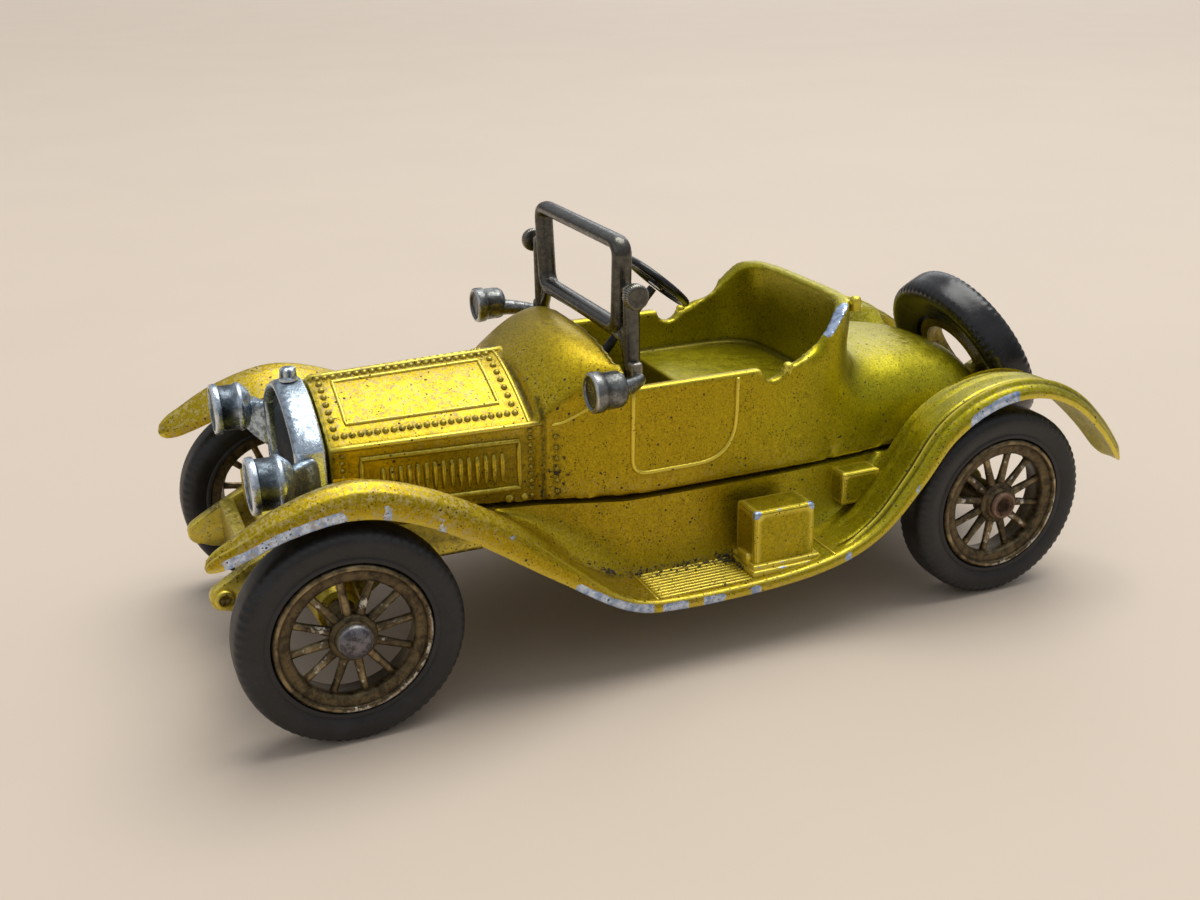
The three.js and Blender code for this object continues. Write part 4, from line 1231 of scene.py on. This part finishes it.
def chassis_masks(points):
    x, y, z = points.T
    side = np.abs(x)
    height = z - lip_z(y)
    outer = smoothstep(side, 17.2, 17.9)
    wear = np.zeros(len(points))
    for start, end, amount, top in LIP_WEAR:
        span = smoothstep(y, start - 0.5, start + 0.5) * smoothstep(-y, -end - 0.5, -end + 0.5)
        band = smoothstep(-height, -top - 0.3, -top + 0.1) * smoothstep(height, -0.3, 0.0)
        wear = np.maximum(wear, amount * outer * span * band)
    # Thin lacquer on the front fenders' crown and down to the board.
    crown = smoothstep(side, 15.6, 17.0) * smoothstep(-y, 12, 20) * smoothstep(height, 1.0, 1.8)
    wear = np.maximum(wear, 0.34 * crown)
    for corner_y in (4.0, 9.9):
        offset = (points - np.array([16.8, corner_y, 12.9])) / np.array([0.6, 0.8, 0.5])
        wear = np.maximum(wear, 0.9 * smoothstep(-np.linalg.norm(offset, axis=1), -1.2, -0.6))
    on_board = smoothstep(-np.abs(y), -15, -9) * smoothstep(-height, -2.2, -1.3)
    inner_corner = smoothstep(-side, -14.8, -12.8)
    box_side = smoothstep(-np.abs(y - 3.0), -1.1, -0.3) + smoothstep(-np.abs(y - 11.4), -0.9, -0.2)
    beside_box = smoothstep(-side, -16.5, -14.5)
    soil = on_board * np.clip(0.2 + 0.45 * inner_corner + 0.5 * box_side * beside_box, 0, 1) * (side > 11)
    soil *= smoothstep(y, -12.5, -10)
    front = smoothstep(-y, 30, 40)
    front = np.maximum(front, smoothstep(-y, 18, 26) * smoothstep(side, 13, 14))
    dirt = np.clip(0.12 + 0.85 * front + 0.3 * on_board + 0.4 * smoothstep(y, 20, 30), 0, 1)
    from_axle = np.minimum(np.abs(y - FRONT_AXLE_Y), np.abs(y - REAR_AXLE_Y))
    near_wheel = smoothstep(-from_axle, -9, -7)
    # Painted shadow: the chassis's inner faces inside the wheel wells darkened.
    under = smoothstep(-side, -13.2, -12.2) * smoothstep(-z, -13.6, -12.6) * near_wheel
    grime_and_shade = np.maximum(0.4 * soil, 0.9 * under)
    return {"wear": wear, "dirt": dirt, "soil": soil, "gold_tint": front_to_rear(y), "grime_and_shade": grime_and_shade}


def make_chassis():
    rail = bevelled([rail_solid()], 0.15, 2)[0]
    eye_profile = [(7.9, 0.85), (8.35, 0.85), (8.45, 0.75), (8.45, 0.5), (8.2, 0.4), (8.2, 0)]
    eye = turned(eye_profile, 24, (0, -42.2, 10.2))
    bosses = []
    for y, wheel_x in ((FRONT_AXLE_Y, FRONT_WHEEL_X), (REAR_AXLE_Y, REAR_WHEEL_X)):
        end = wheel_x - 3.5
        profile = [(7.2, 0), (7.2, 2.4), (end - 0.2, 1.95), (end, 1.75), (end, 0)]
        bosses.append(turned(profile, 28, (0, y, AXLE_Z)))
    solids = both([fender_solid(), valance_solid(), rail, eye, *bosses, *board_boxes()])
    details = as_relief(both(running_board_details()))
    front_bar = box(-6.9, 6.9, -40.2, -38.9, 9, 13.2)
    rear_bar = box(-6.9, 6.9, 37.2, 38.4, 10.8, 12.6)
    bars = bevelled([deck_plate_solid(), front_bar, rear_bar], 0.15, 2)
    solids += [*bars, *details]
    piece("chassis_shell", solids, "car", ["chassis_casting"], PAINT, chassis_masks)


# ---- radiator, lamps, windscreen, steering -----------------------------------------------------

RADIATOR_FRONT_Y = -35.1
RADIATOR_REAR_Y = BONNET_FRONT_Y - FIT_GAP
RADIATOR_BOTTOM_Z = 15.9


def radiator_outline(inset, y):
    station = dict(BONNET_FRONT, sill=7.9, shoulder=7.9, top=26.1, spread=1.7, crown=1.25)
    outline = body_section(station, inset, 48)
    bottom = RADIATOR_BOTTOM_Z + inset
    return [(x, y, bottom if i < 2 else z) for i, (x, _, z) in enumerate(outline)]


def make_radiator():
    front, rear = RADIATOR_FRONT_Y, RADIATOR_REAR_Y
    ring = [
        (rear, 1.2), (rear, 0.2), (rear - 0.12, 0.04), (rear - 0.3, 0.0), (front + 1.1, 0.0),
        (front + 0.6, 0.06), (front + 0.25, 0.2), (front + 0.05, 0.42), (front, 0.6),
        (front + 0.03, 0.75), (front + 0.15, 0.95), (front + 0.4, 1.06), (front + 1.6, 1.1),
        (front + 1.6, 1.2),
    ]
    shell = loft([radiator_outline(inset, y) for y, inset in ring], loop=True)
    back_plate = loft([radiator_outline(0.6, y) for y in (front + 1.65, rear - 0.1)])
    piece("radiator_surround", [shell, back_plate], "car", ["radiator_shell"], PLATED)

    core_front = front + 0.6
    plate = loft([radiator_outline(1.4, y) for y in (core_front + 0.15, core_front + 0.7)])
    fins = []
    fin_count = 20
    for i in range(fin_count):
        z = mix(RADIATOR_BOTTOM_Z + 1.8, 24.0, i / (fin_count - 1))
        half = 6.3 if z < 21.3 else mix(6.3, 1.2, (z - 21.3) / 2.7)
        fins.append(tube([(x, core_front + 0.16, z) for x in np.linspace(-half, half, 3)], 0.13, 6))
    for x in np.linspace(-6, 6, 13):
        top = mix(24.2, 21.4, abs(x) / 6)
        fins.append(tube([(x, core_front + 0.18, z) for z in (RADIATOR_BOTTOM_Z + 1.6, top)], 0.08, 6))
    piece("radiator_grille", [plate, *fins], "car", ["radiator_core"], CORE)

    stem = [(0, 0), (0, 0.82), (0.2, 0.82), (0.3, 0.74)]
    cap = [*stem, (0.42, 0.7), (0.9, 0.7), (1.05, 0.62), (1.16, 0.42), (1.2, 0)]

    def lobes(angles, index):
        return 0.06 * np.cos(6 * angles) * (4 <= index <= 6)

    knob = moved(facing_z(turned(cap, 48, wobble=lobes)), (0, -33.7, 26.15))
    piece("radiator_filler_cap", [knob], "car", ["radiator_cap"], PLATED)


def make_headlamps():
    x, face_y, z = 10.4, -39.5, 20.9
    profile = [
        (0.62, 0), (0.55, 0.7), (0.42, 1.4), (0.22, 1.8), (0.18, 1.95), (0.04, 2.02), (0.0, 2.15),
        (0.02, 2.3), (0.12, 2.4), (0.45, 2.44), (0.68, 2.4), (0.75, 2.24), (0.85, 2.18),
        (2.2, 2.16), (2.3, 2.24), (2.42, 2.32), (2.7, 2.32), (2.84, 2.2), (3.15, 1.95),
        (3.5, 1.6), (3.85, 1.0), (3.9, 0),
    ]
    drum = moved(facing_y(turned(profile, 64)), (x, face_y, z))
    rings = [
        (x + 0.9, -37.4, -35.9, 19.6, 22.0),
        (9.4, -36.8, -34.6, 18.7, 21.7),
        (8.75, -36.0, -33.8, 17.8, 21.65),
        (8.2, -35.2, -33.2, 17.2, 21.6),
    ]
    sections = []
    for across, y0, y1, z0, z1 in smooth_rows(rings, 12):
        ring = []
        for angle in np.arange(24) * math.pi / 12:
            c, s = math.cos(angle), math.sin(angle)
            u = math.copysign(abs(c) ** 0.5, c)
            v = math.copysign(abs(s) ** 0.5, s)
            ring.append((across, mix(y0, y1, (u + 1) / 2), mix(z0, z1, (v + 1) / 2)))
        sections.append(ring)
    bracket = loft(sections)
    pair("headlamp_body", "headlamp", [drum, bracket], PLATED)


SCREEN_Y = -6.75


def make_windscreen():
    centre_y = SCREEN_Y + 0.9
    bar = 0.66
    depth_ratio = 1.4
    top_half, bottom_half, top_z, bottom_z = 10.35 - bar, 9.7 - bar, 37.9 - bar, 28.9 + bar
    corner = 1.35
    corners = [(bottom_half, bottom_z), (top_half, top_z), (-top_half, top_z), (-bottom_half, bottom_z)]
    places = np.array(corners)
    outline = []
    for before, place, after in zip(np.roll(places, 1, 0), places, np.roll(places, -1, 0)):
        behind = (before - place) / np.linalg.norm(before - place) * corner
        ahead = (after - place) / np.linalg.norm(after - place) * corner
        outline += [*bezier([place + behind, place, place + ahead], 8)]
        outline += [mix(place + ahead, after - ahead, t) for t in (0.25, 0.5, 0.75)]
    bars = [(x, centre_y, z) for x, z in outline]
    ring = tube(bars, bar * depth_ratio, 16, loop=True, flatten=1 / depth_ratio)
    post_y = SCREEN_Y + 1.05
    post_path = [(11.2, post_y, z) for z in np.linspace(DOOR_TOP_Z + 0.5, 33.8, 12)]
    post = tube(post_path, 0.55, 14, flatten=1.4)
    foot_box = box(10.9, 12.6, post_y - 0.6, post_y + 0.5, DOOR_TOP_Z + 0.3, 27.3)
    foot = bevelled([foot_box], 0.3, 4)[0]
    upper_web = tube([(9.4, post_y, 33.3), (11.6, post_y, 33.3)], 0.5, 12)
    lower_web = tube([(9.0, post_y, 29.7), (10.2, post_y, 29.6), (11.2, post_y, 28.6)], 0.5, 12)
    knee_path = [(8.6, post_y, 29.9), (9.7, post_y, 28.9), (11.0, post_y, 26.6)]
    knee = tube(knee_path, 0.55, 12, flatten=1.3)
    # The foot rail follows the scuttle under the frame's bottom bar.
    half = 9.4
    rail_path = []
    for x in np.linspace(-half, half, 21):
        rail_path.append((x, centre_y - 0.05, 28.95 + 0.15 * math.cos(x / half * math.pi / 2)))
    rail = tube(rail_path, 0.42, 10)
    clip = bevelled([box(-1.5, 6.5, centre_y + 0.35, centre_y + 0.72, 36.75, 37.7)], 0.12, 2)[0]
    solids = [ring, rail, clip, *both([post, foot, upper_web, lower_web, knee])]
    piece("windscreen_bars", solids, "car", ["windscreen_frame"], GUNMETAL)

    knob_grip = [(0.45, 1.12), (1.0, 1.14), (1.2, 1.05), (1.3, 0.85), (1.22, 0.5), (1.2, 0)]
    knob_profile = [(0, 0), (0, 0.5), (0.28, 0.5), (0.34, 1.0), *knob_grip]

    def knurl(angles, index):
        return 0.015 * np.cos(36 * angles) * (4 <= index <= 5)

    knob = turned(knob_profile, 144, (11.92, SCREEN_Y + 0.8, 33.3), wobble=knurl)
    pair("clamp_knob", "windscreen_knob", [knob], GUNMETAL)


def make_side_lamps():
    x, face_y, z = 15.7, -11.6, 26.4
    profile = [
        (0.35, 0), (0.3, 0.8), (0.22, 1.32), (0.04, 1.42), (0.0, 1.55), (0.06, 1.68),
        (0.25, 1.78), (0.95, 1.76), (1.05, 1.66), (1.15, 1.6), (2.3, 1.6), (2.7, 1.55),
        (3.0, 1.35), (3.15, 1.05), (3.2, 0),
    ]
    drum = moved(facing_y(turned(profile, 48)), (x, face_y, z))
    arm_ends = [(x - 0.6, face_y + 2.2, z - 0.3), (12.7, SCREEN_Y + 1.1, 25.9)]
    arm_path = bezier([arm_ends[0], (14.6, face_y + 4.6, 26.0), arm_ends[1]], 12)
    arm = tube(arm_path, np.linspace(0.85, 0.55, 13), 14)
    pair("side_lamp_body", "side_lamp", [drum, arm], LAMP_STEEL)


def make_steering():
    centre = (-4.75, 4.2, 29.6)
    lean = -(math.pi / 2 - math.radians(48))

    def placed(solid):
        return moved(rotated(solid, "x", lean), centre)

    radius = 3.5
    angles = np.arange(72) * math.pi / 36
    rim = tube([(radius * math.cos(a), radius * math.sin(a), 0) for a in angles], 0.4, 14, loop=True)
    spokes = []
    for i in range(4):
        a = math.pi / 4 + i * math.pi / 2
        c, s = math.cos(a), math.sin(a)
        spokes.append(tube([(0.4 * c, 0.4 * s, 0.05), (radius * c, radius * s, 0)], [0.3, 0.24], 10))
    hub_profile = [(-0.5, 0), (-0.5, 0.75), (0.15, 0.8), (0.32, 0.6), (0.5, 0.5), (0.55, 0)]
    hub = facing_z(turned(hub_profile, 32))
    wheel = [placed(solid) for solid in (rim, hub, *spokes)]
    piece("steering_wheel_rim", wheel, "car", ["steering_wheel"], GLOSS_BLACK)
    length = 15.3
    foot = [(-length, 0), (-length, 0.85), (-length + 0.7, 0.85), (-length + 0.95, 0.5)]
    column = placed(facing_z(turned([*foot, (-0.8, 0.46), (-0.8, 0)], 28)))
    piece("steering_post", [column], "car", ["steering_column"], GLOSS_BLACK)


# ---- wheels, tyres, axles, spare ---------------------------------------------------------------

TREAD_RIBS = 72
RIB_DEPTH = 0.1
WHEEL_BEAD = [(1.55, 6.62, 0), (1.8, 6.75, 0), (1.86, 7.05, 0), (1.78, 7.2, 0)]
SPARE_BORE = 5.4
SPARE_BEAD = [(1.3, SPARE_BORE, 0), (1.55, SPARE_BORE + 0.1, 0), (1.7, 6.0, 0), (1.75, 6.9, 0)]


def tyre_profile(bead):
    """The tyre's ring of points: (distance from the centre plane, radius, share of the ribs)."""
    half = [
        *bead,
        (1.9, 7.45, 0), (2.02, 8.0, 0), (2.05, 8.45, 0), (1.98, 8.8, 0.4), (1.86, 9.05, 1),
        (1.6, 9.3, 0.8), (1.25, 9.42, 0), (0.9, 9.47, 0), (0.45, 9.48, 0),
    ]
    other = [(-distance, radius, ribs) for distance, radius, ribs in reversed(half)]
    return [*half, (0, 9.48, 0), *other, half[0]]


def tyre_solid(bead):
    rows = tyre_profile(bead)

    def tread(angles, index):
        wave = np.clip(np.cos(TREAD_RIBS * angles) * 2.2, -1, 1)
        return -RIB_DEPTH * rows[index][2] * (1 - wave) / 2

    return turned([(d, r) for d, r, _ in rows], TREAD_RIBS * 6, wobble=tread)


def wheel_solids():
    rim = turned(
        [
            (-1.5, 5.7), (-1.5, 6.6), (1.6, 6.6), (1.86, 6.56), (2.0, 6.42), (2.02, 6.25),
            (1.9, 6.1), (1.75, 6.05), (1.72, 5.5), (1.66, 5.25), (1.5, 5.12), (1.15, 5.05),
            (0.6, 5.12), (0.5, 5.2), (-1.5, 5.7),
        ],
        96,
    )
    hub = turned(
        [
            (-3.2, 0.88), (-3.2, 1.35), (-0.4, 1.45), (-0.1, 1.9), (0.9, 2.1), (1.35, 2.05),
            (1.5, 1.95), (1.58, 1.62), (1.85, 1.5), (1.9, 1.35), (1.9, 0.88), (-3.2, 0.88),
        ],
        48,
    )
    spoke_path = [(0.85, 0, 1.6), (0.9, 0, 2.4), (0.92, 0, 4.2), (0.9, 0, 5.35)]
    spoke = tube(spoke_path, [0.5, 0.4, 0.33, 0.36], 12)
    return [rim, hub, *(rotated(spoke, "x", i * math.pi / 6) for i in range(12))]


def wheel_masks(points):
    """Where the brass plating is rubbed: the rim, its lower side, and the spokes' faces."""
    x, y, z = points.T
    radius = np.hypot(y, z)
    low_side = smoothstep(y - z, 2.5, 7) * smoothstep(radius, 4.9, 5.6)
    spokes = smoothstep(radius, 2.0, 2.5) * smoothstep(-radius, -5.2, -4.8)
    spokes *= smoothstep(np.abs(x), 0.9, 1.1)
    return {"rub": 0.38 * smoothstep(radius, 5.9, 6.4) + 0.30 * low_side + 0.55 * spokes}


def axle_solid(shoulder, head, y):
    """A rod across the car; head is the profile past the shoulder at each of its ends."""
    half = [(shoulder, 0.8), *((shoulder + further, radius) for further, radius in head)]
    profile = [*((-distance, radius) for distance, radius in reversed(half)), *half]
    return turned(profile, 40, (0, y, AXLE_Z))


ROUND_HEAD = [(0, 1.5), (0.2, 1.48), (0.45, 1.25), (0.66, 0.8), (0.76, 0)]
CUPPED_HEAD = [(0, 1.35), (0.3, 1.3), (0.42, 1.15), (0.4, 0.9), (0.15, 0.7), (0.1, 0)]


def make_wheel(end, side, sign, turn, centre):
    """A wheel and its tyre, turned about the axle by an angle; sign is -1 on the right."""

    def placed(solid):
        turned_solid = rotated(solid, "x", turn)
        if sign < 0:
            turned_solid = rotated(turned_solid, "z", math.pi)
        return moved(turned_solid, centre)

    def masks(points):
        return wheel_masks(points - np.array(centre))

    body = f"{end}_{side}_wheel"
    wheel = [placed(solid) for solid in wheel_solids()]
    piece(f"{end}_spoked_wheel_{side}", wheel, body, [f"{end}_wheel_{side}"], BRASS, masks)
    tyre = [placed(tyre_solid(WHEEL_BEAD))]
    piece(f"{end}_tread_tyre_{side}", tyre, body, [f"{end}_tyre_{side}"], TYRE)


def make_wheels():
    ends = (
        ("front", FRONT_WHEEL_X, FRONT_AXLE_Y, 0.13, ROUND_HEAD, STEEL),
        ("rear", REAR_WHEEL_X, REAR_AXLE_Y, 0.33, CUPPED_HEAD, RUSTY),
    )
    for end, wheel_x, y, turn, head, metal in ends:
        make_wheel(end, "left", 1, turn, (wheel_x, y, AXLE_Z))
        make_wheel(end, "right", -1, turn + 1.1, (-wheel_x, y, AXLE_Z))
        rod = axle_solid(wheel_x + 2.0, head, y)
        piece(f"{end}_axle_rod", [rod], "car", [f"{end}_axle"], metal)


def spare_placed(solid):
    """From turned about X to its place on the tail, facing rearward and up."""
    stood = rotated(solid, "z", math.pi / 2)
    return moved(rotated(stood, "x", SPARE_TILT), SPARE_CENTRE)


def make_spare():
    tyre = spare_placed(tyre_solid(SPARE_BEAD))
    piece("spare_tread_tyre", [tyre], "car", ["spare_tyre"], GLOSS_BLACK)
    outer = SPARE_BORE - FIT_GAP
    inner = outer - 1
    lip = [(0.6, outer), (0.9, outer - 0.15), (1.0, outer - 0.5), (0.9, inner + 0.15), (0.6, inner)]
    ring = turned([(-1.3, inner), (-1.3, outer), *lip, (-1.3, inner)], 64)
    lugs = []
    for y in (inner + 0.2, -inner - 0.2):
        lugs += bevelled([box(-2.6, -1.1, y - 0.7, y + 0.7, -1.1, 1.1)], 0.15, 2)
    solids = [spare_placed(solid) for solid in (ring, *lugs)]

    def masks(points):
        # The carrier ring darkened all over: painted shade inside the tyre, with some dust.
        amounts = {"wear": 0, "dirt": 0.5, "grime_and_shade": 0.75, "soil": 0, "gold_tint": 0.6}
        return {key: np.full(len(points), amount) for key, amount in amounts.items()}

    piece("spare_carrier_ring", solids, "car", ["spare_carrier"], PAINT, masks)


def make_rivets():
    bottom = float(chassis_top_z(LOWEST_SILL_Y)) - 1.1 - FIT_GAP
    spread = [(-0.8, 0), (-0.76, 0.8), (-0.6, 1.35), (-0.2, 1.85), (0, 1.88), (0, 0.9)]
    profile = [*((bottom + up, radius) for up, radius in spread), (18.6, 0.9), (18.6, 0)]
    for name, y in (("front", -22.5), ("rear", 26.5)):
        stem = moved(facing_z(turned(profile, 36)), (0, y, 0))
        piece(f"body_rivet_stem_{name}", [stem], "car", [f"body_rivet_{name}"], STEEL)


# ---- floor, light and camera -------------------------------------------------------------------


def lamp_of(name, kind, power, colour, towards):
    light = bpy.data.lights.new(name, kind)
    light.energy = power
    light.color = colour
    lamp = bpy.data.objects.new(name, light)
    lamp.rotation_euler = towards.to_track_quat("-Z", "Y").to_euler()
    bpy.context.scene.collection.objects.link(lamp)
    return lamp


def make_stage():
    """A floor six metres out each way, a soft room and four lights, in metres."""
    half = 6
    mesh = bpy.data.meshes.new("floor")
    corners = [(-half, -half, 0), (half, -half, 0), (half, half, 0), (-half, half, 0)]
    mesh.from_pydata(corners, [], [(0, 1, 2, 3)])
    mesh.materials.append(floor_paper("floor_paper"))
    floor = bpy.data.objects.new("floor", mesh)
    bpy.context.scene.collection.objects.link(floor)

    # Dim at the horizon, brighter overhead.
    world = bpy.data.worlds.new("studio")
    world.use_nodes = True
    nodes = world.node_tree.nodes
    links = world.node_tree.links
    direction = nodes.new("ShaderNodeTexCoord")
    split = nodes.new("ShaderNodeSeparateXYZ")
    links.new(direction.outputs["Generated"], split.inputs[0])
    ramp = nodes.new("ShaderNodeValToRGB")
    low, high = ramp.color_ramp.elements
    low.position, high.position = 0.0, 0.5
    low.color = (0.09, 0.085, 0.08, 1)
    high.color = (0.66, 0.68, 0.72, 1)
    links.new(split.outputs["Z"], ramp.inputs[0])
    links.new(ramp.outputs[0], nodes["Background"].inputs["Color"])
    nodes["Background"].inputs["Strength"].default_value = 0.75
    bpy.context.scene.world = world

    target = Vector((0, 0, 0.015))
    for name, place, size, power, colour in (
        ("overhead", (-0.10, 0.14, 0.60), 0.42, 1.0, (1.0, 0.99, 0.96)),
        ("back", (-1.70, 1.25, 1.05), 1.4, 7.2, (0.93, 0.96, 1.0)),
        ("front", (0.20, -0.60, 0.25), 0.25, 0.08, (1.0, 0.98, 0.94)),
    ):
        lamp = lamp_of(name, "AREA", power, colour, target - Vector(place))
        lamp.data.size = size
        lamp.location = place
    sky = lamp_of("sky", "SUN", 1.85, (1.0, 0.99, 0.96), Vector((0.15, -0.3, -1)))
    sky.data.angle = math.radians(50)


def make_camera():
    place = Vector((115.58, -51.81 + CENTRING_Y, 62.87)) * MM
    azimuth, elevation, roll = math.radians(67.65), math.radians(21.1), math.radians(-1.12)
    level_part = math.cos(elevation)
    back = Vector((math.sin(azimuth) * level_part, -math.cos(azimuth) * level_part, math.sin(elevation)))
    camera = bpy.data.cameras.new("camera")
    camera.sensor_width = 36
    camera.lens = 40.8252
    camera.clip_start = 0.01
    obj = bpy.data.objects.new("camera", camera)
    obj.rotation_mode = "QUATERNION"
    level = (-back).to_track_quat("-Z", "Y")
    obj.rotation_quaternion = level @ Quaternion((0, 0, 1), roll)
    obj.location = place
    bpy.context.scene.collection.objects.link(obj)
    bpy.context.scene.camera = obj


make_camera()
make_body()
make_chassis()
make_radiator()
make_headlamps()
make_windscreen()
make_side_lamps()
make_steering()
make_wheels()
make_spare()
make_rivets()
make_stage()
bpy.context.scene.view_settings.view_transform = "Standard"
